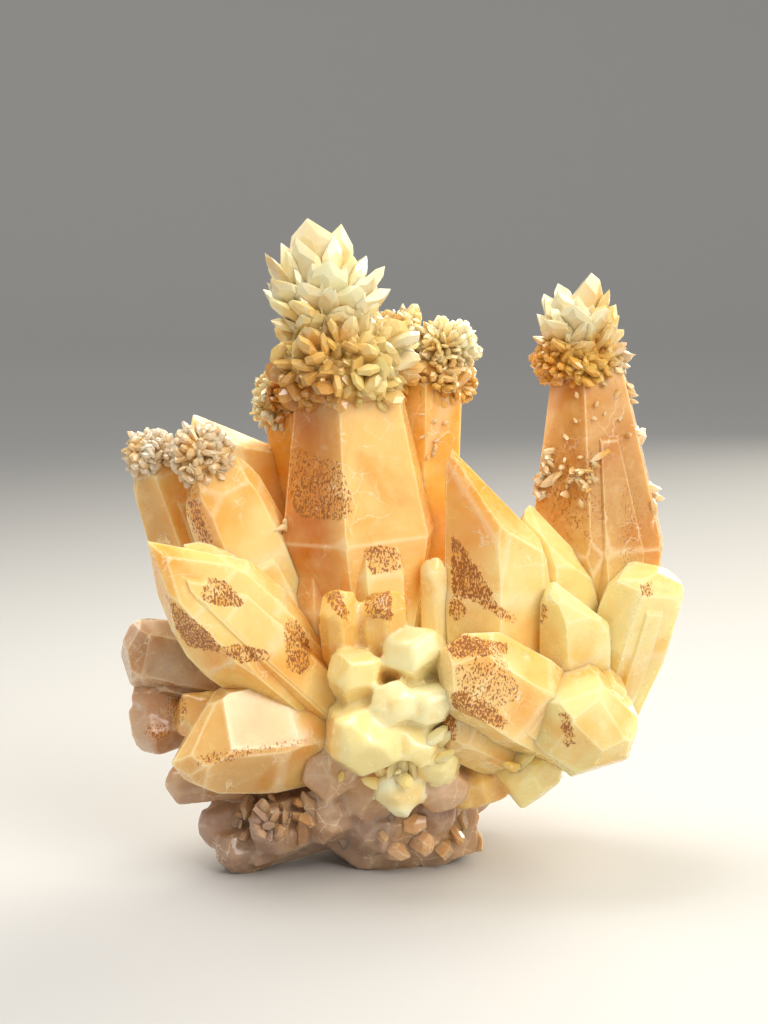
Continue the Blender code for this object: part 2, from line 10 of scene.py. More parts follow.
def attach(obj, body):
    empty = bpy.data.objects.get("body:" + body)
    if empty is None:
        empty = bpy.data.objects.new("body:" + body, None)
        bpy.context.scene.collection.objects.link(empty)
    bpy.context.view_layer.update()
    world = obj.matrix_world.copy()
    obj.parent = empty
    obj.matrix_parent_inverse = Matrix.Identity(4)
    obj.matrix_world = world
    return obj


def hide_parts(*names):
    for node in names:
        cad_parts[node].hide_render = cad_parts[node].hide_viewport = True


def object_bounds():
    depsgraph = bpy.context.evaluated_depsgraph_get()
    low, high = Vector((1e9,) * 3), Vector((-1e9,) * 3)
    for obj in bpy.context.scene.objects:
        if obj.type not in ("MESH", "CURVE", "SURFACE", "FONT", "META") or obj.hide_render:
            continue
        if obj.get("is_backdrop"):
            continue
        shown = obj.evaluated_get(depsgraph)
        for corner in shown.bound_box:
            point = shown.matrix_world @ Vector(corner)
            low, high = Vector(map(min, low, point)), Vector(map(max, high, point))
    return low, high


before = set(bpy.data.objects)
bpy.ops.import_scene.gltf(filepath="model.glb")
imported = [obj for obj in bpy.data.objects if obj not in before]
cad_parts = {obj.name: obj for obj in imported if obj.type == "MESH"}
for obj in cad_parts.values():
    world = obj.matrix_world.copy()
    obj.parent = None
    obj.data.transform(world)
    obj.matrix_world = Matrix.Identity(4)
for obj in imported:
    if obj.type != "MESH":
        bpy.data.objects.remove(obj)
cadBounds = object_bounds()
mm = 0.001  # the dictionaries below are in millimetres
print("frame loaded")


# Camera and studio

cameraSettings = dict(
    elevation=10, lens=100, sensor=36, distance=0.569, target=(-0.0022, 0, 0.0727),
)
studio = dict(
    floorSize=3.2, wallHeight=2.2, foldRadius=0.7, floorColour=(0.50, 0.495, 0.485),
    worldColour=(0.97, 0.96, 0.94), worldStrength=0.54,
    lamps=[
        dict(
            name="keyLamp", place=(0.36, -0.38, 0.50), size=0.55, power=1.35, spread=100,
            colour=(1.0, 0.95, 0.87),
        ),
        dict(
            name="glowLamp", place=(0.30, 0.46, 0.30), size=0.60, power=1.5, spread=80,
            colour=(1.0, 0.93, 0.78),
        ),
        dict(
            name="topLamp", place=(-0.20, 0.12, 0.56), size=0.50, power=0.85, spread=90,
            colour=(1.0, 0.97, 0.92),
        ),
    ],
)


def aim(obj, place, target):
    obj.location = place
    obj.rotation_euler = (Vector(target) - Vector(place)).to_track_quat("-Z", "Y").to_euler()


def makeCamera(settings):
    lens = bpy.data.cameras.new("camera")
    lens.lens = settings["lens"]
    lens.sensor_width = settings["sensor"]
    lens.clip_start = 0.01
    camera = bpy.data.objects.new("camera", lens)
    bpy.context.scene.collection.objects.link(camera)
    rise = math.radians(settings["elevation"])
    back = Vector((0, -math.cos(rise), math.sin(rise))) * settings["distance"]
    aim(camera, Vector(settings["target"]) + back, settings["target"])
    bpy.context.scene.camera = camera


def pickEdges(obj, wanted):
    bpy.ops.mesh.select_mode(type="EDGE")
    bpy.ops.mesh.select_all(action="DESELECT")
    body = bmesh.from_edit_mesh(obj.data)
    for edge in body.edges:
        if wanted(*(vert.co for vert in edge.verts)):
            edge.select_set(True)
    bmesh.update_edit_mesh(obj.data)


def makeStudio(settings):
    bpy.context.scene.view_settings.view_transform = "Standard"
    world = bpy.data.worlds.new("studioWorld")
    bpy.context.scene.world = world
    world.use_nodes = True
    sky = world.node_tree.nodes["Background"]
    sky.inputs["Color"].default_value = (*settings["worldColour"], 1)
    sky.inputs["Strength"].default_value = settings["worldStrength"]
    for lamp in settings["lamps"]:
        data = bpy.data.lights.new(lamp["name"], "AREA")
        data.shape = "DISK"
        data.size = lamp["size"]
        data.energy = lamp["power"]
        data.color = lamp["colour"]
        data.spread = math.radians(lamp["spread"])
        obj = bpy.data.objects.new(lamp["name"], data)
        bpy.context.scene.collection.objects.link(obj)
        aim(obj, lamp["place"], cameraSettings["target"])
    bpy.ops.object.select_all(action="DESELECT")
    bpy.ops.mesh.primitive_plane_add(size=settings["floorSize"])
    floor = bpy.context.active_object
    floor.name = floor.data.name = "studioFloor"
    half = settings["floorSize"] / 2
    bpy.ops.object.mode_set(mode="EDIT")
    pickEdges(floor, lambda start, end: start.y > half - 0.01 and end.y > half - 0.01)
    bpy.ops.mesh.extrude_region_move(TRANSFORM_OT_translate={"value": (0, 0, settings["wallHeight"])})
    pickEdges(floor, lambda start, end: min(start.y, end.y) > half - 0.01 and max(start.z, end.z) < 0.01)
    bpy.ops.mesh.bevel(offset=settings["foldRadius"], segments=16, affect="EDGES")
    bpy.ops.mesh.select_all(action="SELECT")
    bpy.ops.mesh.faces_shade_smooth()
    bpy.ops.object.mode_set(mode="OBJECT")
    paint = bpy.data.materials.new("floorPaper")
    paint.use_nodes = True
    shader = paint.node_tree.nodes["Principled BSDF"]
    shader.inputs["Base Color"].default_value = (*settings["floorColour"], 1)
    shader.inputs["Roughness"].default_value = 0.75
    floor.data.materials.append(paint)
    floor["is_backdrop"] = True


makeCamera(cameraSettings)
makeStudio(studio)
print("camera and studio done")


# Materials: one shared group gives colour, roughness and height, and each finish has its own shader

def addNode(tree, kind, **settings):
    node = tree.nodes.new(kind)
    for key, value in settings.items():
        if key in node.inputs.keys():
            node.inputs[key].default_value = value
        else:
            setattr(node, key, value)
    return node


def mathNode(tree, operation, first, second=None):
    node = addNode(tree, "ShaderNodeMath", operation=operation)
    for socket, value in zip(node.inputs, (first, second)):
        if value is None:
            continue
        if isinstance(value, (int, float)):
            socket.default_value = value
        else:
            tree.links.new(value, socket)
    return node.outputs[0]


def rangeNode(tree, value, low, high, outLow=0.0, outHigh=1.0):
    node = addNode(tree, "ShaderNodeMapRange", interpolation_type="SMOOTHSTEP")
    tree.links.new(value, node.inputs["Value"])
    for name, number in (("From Min", low), ("From Max", high), ("To Min", outLow), ("To Max", outHigh)):
        node.inputs[name].default_value = number
    return node.outputs["Result"]


def mixColour(tree, amount, first, second, blend="MIX"):
    node = addNode(tree, "ShaderNodeMix", data_type="RGBA", blend_type=blend)
    for socket, value in zip((node.inputs[0], node.inputs[6], node.inputs[7]), (amount, first, second)):
        if isinstance(value, tuple):
            socket.default_value = (*value, 1)
        elif isinstance(value, (int, float)):
            socket.default_value = value
        else:
            tree.links.new(value, socket)
    return node.outputs[2]


def noiseNode(tree, place, scale, detail=3.0, roughness=0.55, distortion=0.0):
    node = addNode(
        tree, "ShaderNodeTexNoise", Scale=scale, Detail=detail, Roughness=roughness, Distortion=distortion,
    )
    tree.links.new(place, node.inputs["Vector"])
    return node.outputs["Fac"]


def newGroup(name, inputs, outputs):
    group = bpy.data.node_groups.new(name, "ShaderNodeTree")
    for label, kind in inputs:
        group.interface.new_socket(label, in_out="INPUT", socket_type=kind)
    for label, kind in outputs:
        group.interface.new_socket(label, in_out="OUTPUT", socket_type=kind)
    return group, group.nodes.new("NodeGroupInput"), group.nodes.new("NodeGroupOutput")


def makeCalciteGroup():
    group, given, result = newGroup(
        "calciteTone",
        [("Place", "NodeSocketVector"), ("Tint", "NodeSocketColor"), ("Rust", "NodeSocketFloat"),
         ("Stain", "NodeSocketFloat"), ("Rim", "NodeSocketFloat"), ("Cloudiness", "NodeSocketFloat"),
         ("Frost", "NodeSocketFloat"), ("Edges", "NodeSocketFloat")],
        [("Colour", "NodeSocketColor"), ("Roughness", "NodeSocketFloat"), ("Height", "NodeSocketFloat")],
    )
    place = given.outputs["Place"]
    tint = given.outputs["Tint"]
    rim = given.outputs["Rim"]
    # large milky clouds, deeper patches and narrower veils inside the crystal
    cloud = rangeNode(group, noiseNode(group, place, 95, 3, 0.6, 0.8), 0.38, 0.68)
    milky = mixColour(group, 0.34, tint, (1.0, 0.84, 0.46))
    colour = mixColour(group, mathNode(group, "MULTIPLY", cloud, given.outputs["Cloudiness"]), tint, milky)
    deeper = mixColour(group, 1.0, tint, (0.94, 0.70, 0.34), "MULTIPLY")
    shade = rangeNode(group, noiseNode(group, place, 85, 2, 0.4, 0.6), 0.44, 0.72, 0.0, 0.85)
    colour = mixColour(group, shade, colour, deeper)
    veil = rangeNode(group, noiseNode(group, place, 330, 3, 0.65, 1.8), 0.54, 0.74, 0.0, 0.16)
    colour = mixColour(group, veil, colour, (1.0, 0.88, 0.56))
    # fine hairlines of healed cracks
    bend = addNode(group, "ShaderNodeTexNoise", Scale=220, Detail=3)
    group.links.new(place, bend.inputs["Vector"])
    shift = addNode(group, "ShaderNodeVectorMath", operation="SCALE", Scale=0.006)
    group.links.new(bend.outputs["Color"], shift.inputs[0])
    warp = addNode(group, "ShaderNodeVectorMath", operation="ADD")
    group.links.new(place, warp.inputs[0])
    group.links.new(shift.outputs[0], warp.inputs[1])
    crack = addNode(group, "ShaderNodeTexVoronoi", feature="DISTANCE_TO_EDGE", Scale=180)
    group.links.new(warp.outputs[0], crack.inputs["Vector"])
    hair = rangeNode(group, crack.outputs["Distance"], 0.0, 0.03, 1.0, 0.0)
    hairArea = rangeNode(group, noiseNode(group, place, 120, 2), 0.50, 0.60)
    hair = mathNode(group, "MULTIPLY", hair, hairArea)
    colour = mixColour(group, mathNode(group, "MULTIPLY", hair, 0.45), colour, (1.0, 0.93, 0.72))
    # growth lines that run parallel to the edges of each face
    drift = mathNode(group, "MULTIPLY", noiseNode(group, place, 140, 3, 0.5), 9.0)
    phase = mathNode(group, "ADD", mathNode(group, "MULTIPLY", rim, 5.2), drift)
    lines = mathNode(group, "SINE", phase)
    lineArea = rangeNode(group, noiseNode(group, place, 110, 2), 0.46, 0.60)
    zone = mathNode(group, "MULTIPLY", rangeNode(group, lines, 0.2, 0.9), lineArea)
    colour = mixColour(group, mathNode(group, "MULTIPLY", zone, 0.22), colour, deeper)
    # painted highlight: pale lines along the edges of the faces
    edge = mathNode(group, "MULTIPLY", rangeNode(group, rim, 0.02, 0.26, 1.0, 0.0), given.outputs["Edges"])
    colour = mixColour(group, edge, colour, (1.0, 0.90, 0.66))
    # rusty stain with straight edges, then its short grains
    fray = mathNode(group, "SUBTRACT", noiseNode(group, place, 900, 3, 0.6), 0.5)
    fray = mathNode(group, "MULTIPLY", fray, 1.6)
    within = rangeNode(group, mathNode(group, "ADD", given.outputs["Stain"], fray), -0.12, 0.30)
    ragged = rangeNode(group, noiseNode(group, place, 420, 4, 0.6), 0.30, 0.60, 0.55, 1.15)
    broken = mathNode(group, "MULTIPLY", mathNode(group, "MULTIPLY", given.outputs["Rust"], within), ragged)
    colour = mixColour(group, rangeNode(group, broken, 0.05, 1.1, 0.0, 0.62), colour, (0.80, 0.36, 0.025))
    stretch = addNode(group, "ShaderNodeVectorMath", operation="MULTIPLY")
    group.links.new(place, stretch.inputs[0])
    stretch.inputs[1].default_value = (1.0, 1.0, 0.55)
    grain = noiseNode(group, stretch.outputs[0], 2900, 2, 0.5, 0.3)
    level = mathNode(group, "ADD", grain, mathNode(group, "MULTIPLY", broken, 0.17))
    speck = rangeNode(group, level, 0.58, 0.66)
    speck = mathNode(group, "MULTIPLY", speck, rangeNode(group, broken, 0.02, 0.25))
    colour = mixColour(group, mathNode(group, "MULTIPLY", speck, 0.94), colour, (0.34, 0.10, 0.006))
    group.links.new(colour, result.inputs["Colour"])
    # roughness: glossy faces, duller where frosted or rusty
    dull = rangeNode(group, noiseNode(group, place, 330, 4, 0.6), 0.42, 0.70)
    rough = mathNode(group, "ADD", 0.22, mathNode(group, "MULTIPLY", dull, given.outputs["Frost"]))
    rough = mathNode(group, "ADD", rough, mathNode(group, "MULTIPLY", speck, 0.25))
    group.links.new(rough, result.inputs["Roughness"])
    # height: shallow hillocks and fine etching
    hills = noiseNode(group, place, 420, 3, 0.5, 0.3)
    etch = noiseNode(group, place, 2600, 3, 0.6)
    etch = mathNode(group, "MULTIPLY", etch, 0.06)
    height = mathNode(group, "ADD", mathNode(group, "MULTIPLY", hills, 0.36), etch)
    group.links.new(height, result.inputs["Height"])
    return group


calciteGroup = makeCalciteGroup()


def makeCalcite(name, cloudiness, frost, edges, transmission, subsurface, depth, bump, coat, ior=1.58):
    finish = bpy.data.materials.new(name)
    finish.use_nodes = True
    tree = finish.node_tree
    shader = tree.nodes["Principled BSDF"]
    tone = addNode(tree, "ShaderNodeGroup", node_tree=calciteGroup)
    place = addNode(tree, "ShaderNodeTexCoord")
    tree.links.new(place.outputs["Object"], tone.inputs["Place"])
    for socket in ("Tint", "Rust", "Stain", "Rim"):
        attribute = addNode(tree, "ShaderNodeAttribute", attribute_name=socket.lower())
        tree.links.new(attribute.outputs["Color" if socket == "Tint" else "Fac"], tone.inputs[socket])
    # the edges value sets how strong the painted edge highlight is
    for socket, value in (("Cloudiness", cloudiness), ("Frost", frost), ("Edges", edges)):
        tone.inputs[socket].default_value = value
    relief = addNode(tree, "ShaderNodeBump", Strength=bump, Distance=0.00025)
    tree.links.new(tone.outputs["Height"], relief.inputs["Height"])
    tree.links.new(relief.outputs["Normal"], shader.inputs["Normal"])
    tree.links.new(tone.outputs["Colour"], shader.inputs["Base Color"])
    tree.links.new(tone.outputs["Roughness"], shader.inputs["Roughness"])
    shader.inputs["IOR"].default_value = ior
    shader.inputs["Transmission Weight"].default_value = transmission
    shader.inputs["Subsurface Weight"].default_value = subsurface
    shader.inputs["Subsurface Radius"].default_value = (1.0, 0.88, 0.62)
    shader.inputs["Subsurface Scale"].default_value = depth
    shader.inputs["Coat Weight"].default_value = coat
    shader.inputs["Coat Roughness"].default_value = 0.18
    return finish


# the third number of each finish sets how strong its painted edge highlight is
finishes = dict(
    honey=makeCalcite("honeyCalcite", 0.60, 0.10, 0.30, 0.0, 0.66, 0.0045, 0.30, 0.25),
    pale=makeCalcite("paleCalcite", 0.60, 0.10, 0.30, 0.08, 0.66, 0.0045, 0.30, 0.25),
    druse=makeCalcite("druseCalcite", 0.20, 0.04, 0.0, 0.14, 0.45, 0.0009, 0.12, 0.45),
    root=makeCalcite("rootCalcite", 0.45, 0.08, 0.15, 0.0, 0.66, 0.0028, 0.32, 0.40),
)
slotOf = dict(honey="honey_calcite", pale="pale_calcite", druse="druse", root="pale_calcite")
print("materials done")


# Colours of the stone, from the deep orange tops to the cream middle and the brown underside; a painted
# glow lightens the front middle and painted shade darkens the lower left

tones = dict(
    deep=(0.62, 0.20, 0.008), amber=(0.66, 0.29, 0.025), orange=(0.88, 0.42, 0.045),
    honey=(0.90, 0.53, 0.11), tan=(0.90, 0.57, 0.17), brown=(0.58, 0.30, 0.075),
    toffee=(0.74, 0.43, 0.12), golden=(0.88, 0.55, 0.13), straw=(0.96, 0.71, 0.27),
    sand=(0.95, 0.70, 0.28), cream=(1.0, 0.79, 0.35), milk=(1.0, 0.86, 0.49),
    lemon=(0.97, 0.80, 0.35), green=(0.89, 0.77, 0.37), pink=(0.62, 0.39, 0.24),
    mauve=(0.44, 0.27, 0.18), umber=(0.30, 0.19, 0.125), grey=(0.56, 0.50, 0.42),
    white=(1.0, 0.95, 0.68),
)


def blendTones(first, second, share):
    return tuple(a + (b - a) * share for a, b in zip(first, second))


def smooth(value, low, high):
    share = min(1.0, max(0.0, (value - low) / (high - low)))
    return share * share * (3 - 2 * share)


# Cleaving: every crystal is cut from a cube by its faces, as the stone splits

def square(direction):
    side = Vector((0, 1, 0)).cross(direction)
    if side.length < 0.35:
        side = Vector((1, 0, 0)) - direction * direction.x
    side.normalize()
    return side, side.cross(direction)


def crystalFaces(root, tip, width, depth, roll=0, taper=2, flare=0, belly=0.45, point=45, facets=3,
                 apex=(0, 0), crown=None, shoulder=0.0):
    chance = random.Random(f"{root}{tip}")
    root = Vector(root)
    tip = Vector(tip)
    crown = Vector(crown) if crown else tip
    axis = (crown - root).normalized()
    side, front = square(axis)
    length = (crown - root).length
    tip = tip + side * apex[0] + front * apex[1]
    taper, flare, point = (math.radians(angle) for angle in (taper, flare, point))
    middle = root + axis * length * belly
    faces = []
    for k in range(6):
        turn = math.radians(roll + 60 * k)
        outward = side * math.cos(turn) + front * math.sin(turn)
        reach = math.hypot(width / 2 * math.cos(turn), depth / 2 * math.sin(turn))
        reach *= 1 + 0.06 * chance.uniform(-1, 1)
        upper = outward * math.cos(taper) + axis * math.sin(taper)
        faces.append((middle + outward * reach, upper))
        if flare:
            faces.append((middle + outward * reach, outward * math.cos(flare) - axis * math.sin(flare)))
        if shoulder:
            slope = (taper + point) / 2
            beyond = (tip - middle).dot(outward) - reach
            rise = (tip - middle).dot(axis) * math.tan(point) + beyond
            rise /= math.tan(point) - math.tan(taper)
            corner = middle + outward * (reach - rise * math.tan(taper)) + axis * rise
            between = outward * math.cos(slope) + axis * math.sin(slope)
            faces.append((corner - between * shoulder * (1 if k % 2 else 0.35), between))
    for k in range(facets):
        turn = math.radians(roll + 30 + 360 / facets * k)
        outward = side * math.cos(turn) + front * math.sin(turn)
        face = outward * math.cos(point) + axis * math.sin(point)
        inset = 0.5 * chance.random() if facets == 6 else 0.0
        faces.append((tip - face * inset, face))
    faces.append((root, -axis))
    return faces


def lumpFaces(centre, radii, seed, facets):
    chance = random.Random(seed)
    centre = Vector(centre)
    faces = []
    for normal in spread(facets, chance):
        support = math.sqrt(sum((normal[i] * radii[i]) ** 2 for i in range(3)))
        support *= 1 + 0.07 * chance.uniform(-1, 1)
        faces.append((centre + normal * support, normal))
    return faces


def spread(count, chance, cone=180.0):
    golden = math.pi * (3 - math.sqrt(5))
    lowest = math.cos(math.radians(cone))
    for k in range(count):
        height = 1 - (1 - lowest) * (k + 0.5) / count
        turn = golden * k + chance.uniform(-0.3, 0.3)
        flat = math.sqrt(max(0.0, 1 - height * height))
        yield Vector((flat * math.cos(turn), flat * math.sin(turn), height))


def deselectAll():
    bpy.ops.object.select_all(action="DESELECT")


def cutOff(point, normal, keepOuter=False):
    bpy.ops.mesh.select_all(action="SELECT")
    bpy.ops.mesh.bisect(
        plane_co=Vector(point) * mm, plane_no=normal, use_fill=not keepOuter, clear_outer=not keepOuter,
        threshold=1e-6,
    )


def cleaveBlock(name, centre, reach, faces):
    deselectAll()
    bpy.ops.mesh.primitive_cube_add(size=2 * reach * mm, location=Vector(centre) * mm)
    block = bpy.context.active_object
    block.name = block.data.name = name
    bpy.ops.object.transform_apply(location=True, rotation=True, scale=True)
    bpy.ops.object.mode_set(mode="EDIT")
    for point, normal in faces:
        cutOff(point, normal)
    return block


def shaveFaces(block, axis, chance, count, depth, lowest=-4, highest=14):
    added = []
    side, front = square(axis)
    for k in range(count):
        turn = chance.uniform(0, 2 * math.pi)
        lean = math.radians(chance.uniform(lowest, highest))
        normal = (side * math.cos(turn) + front * math.sin(turn)) * math.cos(lean) + axis * math.sin(lean)
        body = bmesh.from_edit_mesh(block.data)
        support = max(vert.co.dot(normal) for vert in body.verts) / mm
        point = normal * (support - depth * chance.uniform(0.3, 1.0))
        cutOff(point, normal)
        added.append((point, normal))
    return added


def sliceUp(axis, low, high, step):
    count = int((high - low) / step)
    for k in range(1, count):
        cutOff(axis * (low + (high - low) * k / count), axis, keepOuter=True)


def applyModifier(block, kind, **settings):
    modifier = block.modifiers.new(kind.lower(), kind)
    for key, value in settings.items():
        setattr(modifier, key, value)
    bpy.context.view_layer.objects.active = block
    bpy.ops.object.modifier_apply(modifier=modifier.name)


def refine(block, levels):
    # splits every face in four, levels times over, and keeps it flat
    applyModifier(block, "SUBSURF", subdivision_type="SIMPLE", levels=levels, render_levels=levels)


def wave(block, height, size):
    # bends the faces a little, by a slow noise
    mesh = block.data
    places = np.empty(len(mesh.vertices) * 3)
    normals = np.empty(len(mesh.vertices) * 3)
    mesh.vertices.foreach_get("co", places)
    mesh.vertices.foreach_get("normal", normals)
    places, normals = places.reshape(-1, 3), normals.reshape(-1, 3)
    lifts = np.array([noise.noise(spot) for spot in places / (size * mm)]) * height * mm
    mesh.vertices.foreach_set("co", (places + normals * lifts[:, None]).ravel())
    mesh.update()


worn = dict(
    weld=0.08, bevel=0.22, segments=2, profile=0.55, bevelAngle=14, slice=3.0, wave=(0.05, 5.0),
    shadeAngle=4.5,
)
rimLimit = 9.0  # the longest distance to an edge that is written
stainLimit = 3.0  # the longest distance to the outline of a rust patch that is written
farAway = 200.0


def facesArray(faces):
    normals = np.array([tuple(normal) for point, normal in faces])
    levels = np.array([Vector(point).dot(normal) for point, normal in faces])
    return normals, levels


def meshArrays(mesh):
    count = len(mesh.vertices)
    places = np.empty(count * 3)
    mesh.vertices.foreach_get("co", places)
    return places.reshape(-1, 3) / mm


def writeRim(mesh, bodies):
    # the distance to the nearest edge, in millimetres, on the body whose face each point lies on
    places = meshArrays(mesh)
    nearest = np.full(len(places), farAway)
    owner = np.zeros(len(places), dtype=int)
    rim = np.full(len(places), rimLimit)
    for k, faces in enumerate(bodies):
        normals, levels = facesArray(faces)
        slack = levels[None, :] - places @ normals.T
        slack.sort(axis=1)
        closer = np.abs(slack[:, 0]) < nearest
        nearest[closer] = np.abs(slack[closer, 0])
        owner[closer] = k
        rim[closer] = slack[closer, 1]
    attribute = mesh.attributes.new("rim", "FLOAT", "POINT")
    attribute.data.foreach_set("value", np.clip(rim, 0, rimLimit).astype(np.float32))
    return owner


def paintTint(mesh, colours):
    attribute = mesh.attributes.new("tint", "FLOAT_COLOR", "POINT")
    attribute.data.foreach_set("color", np.array([(*c, 1.0) for c in colours], dtype=np.float32).ravel())


def writeTint(mesh, colourAt):
    paintTint(mesh, [colourAt(Vector(place)) for place in meshArrays(mesh)])


def patchReach(patch, across, upwards):
    # how far inside the patch each point is, in millimetres, and how dense the rust is there
    if "outline" not in patch:
        turn = math.radians(patch.get("turn", 0))
        right, up = across - patch["at"][0], upwards - patch["at"][1]
        along = (right * math.cos(turn) + up * math.sin(turn)) / patch["size"][0]
        beside = (up * math.cos(turn) - right * math.sin(turn)) / patch["size"][1]
        reach = np.sqrt(along ** 2 + beside ** 2)
        return (1.05 - reach) * min(patch["size"]), np.clip(1.3 - reach, 0.2, 1)
    corners = np.array(patch["outline"], dtype=float)
    centre = corners.mean(axis=0)
    inside = np.full(len(across), farAway)
    for start, end in zip(corners, np.roll(corners, -1, axis=0)):
        edge = (end - start) / np.linalg.norm(end - start)
        inward = np.array((-edge[1], edge[0]))
        inward *= np.sign(inward @ (centre - start))
        inside = np.minimum(inside, (across - start[0]) * inward[0] + (upwards - start[1]) * inward[1])
    away = np.hypot(across - corners[0][0], upwards - corners[0][1])
    farthest = np.hypot(*(corners - corners[0]).T).max()
    return inside, np.clip(1.1 - patch.get("fade", 0.6) * away / farthest, 0, 1)


def writeRust(mesh, patches):
    if not patches:
        return
    places = meshArrays(mesh)
    corners = np.empty(len(mesh.loops), dtype=np.int32)
    mesh.loops.foreach_get("vertex_index", corners)
    normals = np.empty(len(mesh.polygons) * 3)
    mesh.polygons.foreach_get("normal", normals)
    totals = np.empty(len(mesh.polygons), dtype=np.int32)
    mesh.polygons.foreach_get("loop_total", totals)
    normals = np.repeat(normals.reshape(-1, 3), totals, axis=0)
    spots = places[corners]
    rise = math.radians(cameraSettings["elevation"])
    upwards = spots[:, 2] * math.cos(rise) + spots[:, 1] * math.sin(rise)
    within = np.full(len(corners), -stainLimit)
    density = np.zeros(len(corners))
    for patch in patches:
        inside, dense = patchReach(patch, spots[:, 0], upwards)
        facing = normals @ np.array(Vector(patch.get("facing", (0, -1, 0))).normalized())
        inside = np.where(facing > patch.get("limit", 0.1), inside, -stainLimit)
        closer = inside > within
        within[closer] = inside[closer]
        density[closer] = dense[closer] * patch.get("strength", 1.0)
    for name, values in (("rust", density), ("stain", np.clip(within, -stainLimit, stainLimit))):
        attribute = mesh.attributes.new(name, "FLOAT", "CORNER")
        attribute.data.foreach_set("value", values.astype(np.float32))


def finishPiece(piece, finish, slot, *nodes):
    piece.data.materials.clear()
    piece.data.materials.append(finishes[finish])
    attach(piece, "root")
    if nodes:
        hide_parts(*nodes)


def shadeFacets(piece, angle):
    deselectAll()
    piece.select_set(True)
    bpy.context.view_layer.objects.active = piece
    bpy.ops.object.shade_smooth_by_angle(angle=math.radians(angle))


def cleaveCrystal(name, habit, shaves=7, shaveDepth=0.55, extraFaces=(), highest=14):
    chance = random.Random(name)
    faces = crystalFaces(**habit) + list(extraFaces)
    root, crown = Vector(habit["root"]), Vector(habit.get("crown") or habit["tip"])
    axis = (crown - root).normalized()
    length = (crown - root).length
    block = cleaveBlock(name, (root + crown) / 2, length + habit["width"], faces)
    faces += shaveFaces(block, axis, chance, shaves, shaveDepth, highest=highest)
    bpy.ops.object.mode_set(mode="OBJECT")
    return block, faces


def uniteBlocks(blocks):
    # one closed body out of blocks that overlap
    group = bpy.data.collections.new("united")
    for other in blocks[1:]:
        group.objects.link(other)
    applyModifier(
        blocks[0], "BOOLEAN", operation="UNION", solver="EXACT", operand_type="COLLECTION",
        collection=group,
    )
    for other in blocks[1:]:
        bpy.data.objects.remove(other)
    bpy.data.collections.remove(group)
    return blocks[0]


def finishFaces(block, directions):
    # wears the edges, and slices the faces so that attributes and the slow waves have points to sit on
    deselectAll()
    block.select_set(True)
    bpy.context.view_layer.objects.active = block
    bpy.ops.object.mode_set(mode="EDIT")
    bpy.ops.mesh.select_all(action="SELECT")
    bpy.ops.mesh.remove_doubles(threshold=worn["weld"] * mm)
    bpy.ops.object.mode_set(mode="OBJECT")
    applyModifier(
        block, "BEVEL", width=worn["bevel"] * mm, segments=worn["segments"], profile=worn["profile"],
        limit_method="ANGLE", angle_limit=math.radians(worn["bevelAngle"]),
    )
    bpy.ops.object.mode_set(mode="EDIT")
    for direction in directions:
        reaches = [vert.co.dot(direction) / mm for vert in bmesh.from_edit_mesh(block.data).verts]
        sliceUp(direction, min(reaches), max(reaches), worn["slice"])
    bpy.ops.object.mode_set(mode="OBJECT")
    applyModifier(block, "TRIANGULATE", min_vertices=5)
    refine(block, 1)


def colourCrystal(block, bodies, colourAt, rust):
    wave(block, *worn["wave"])
    writeRim(block.data, bodies)
    writeTint(block.data, colourAt)
    writeRust(block.data, rust)
    shadeFacets(block, worn["shadeAngle"])


def joinPieces(name, parts):
    deselectAll()
    for part in parts:
        part.select_set(True)
    bpy.context.view_layer.objects.active = parts[0]
    if len(parts) > 1:
        bpy.ops.object.join()
    piece = bpy.context.active_object
    piece.name = piece.data.name = name
    return piece
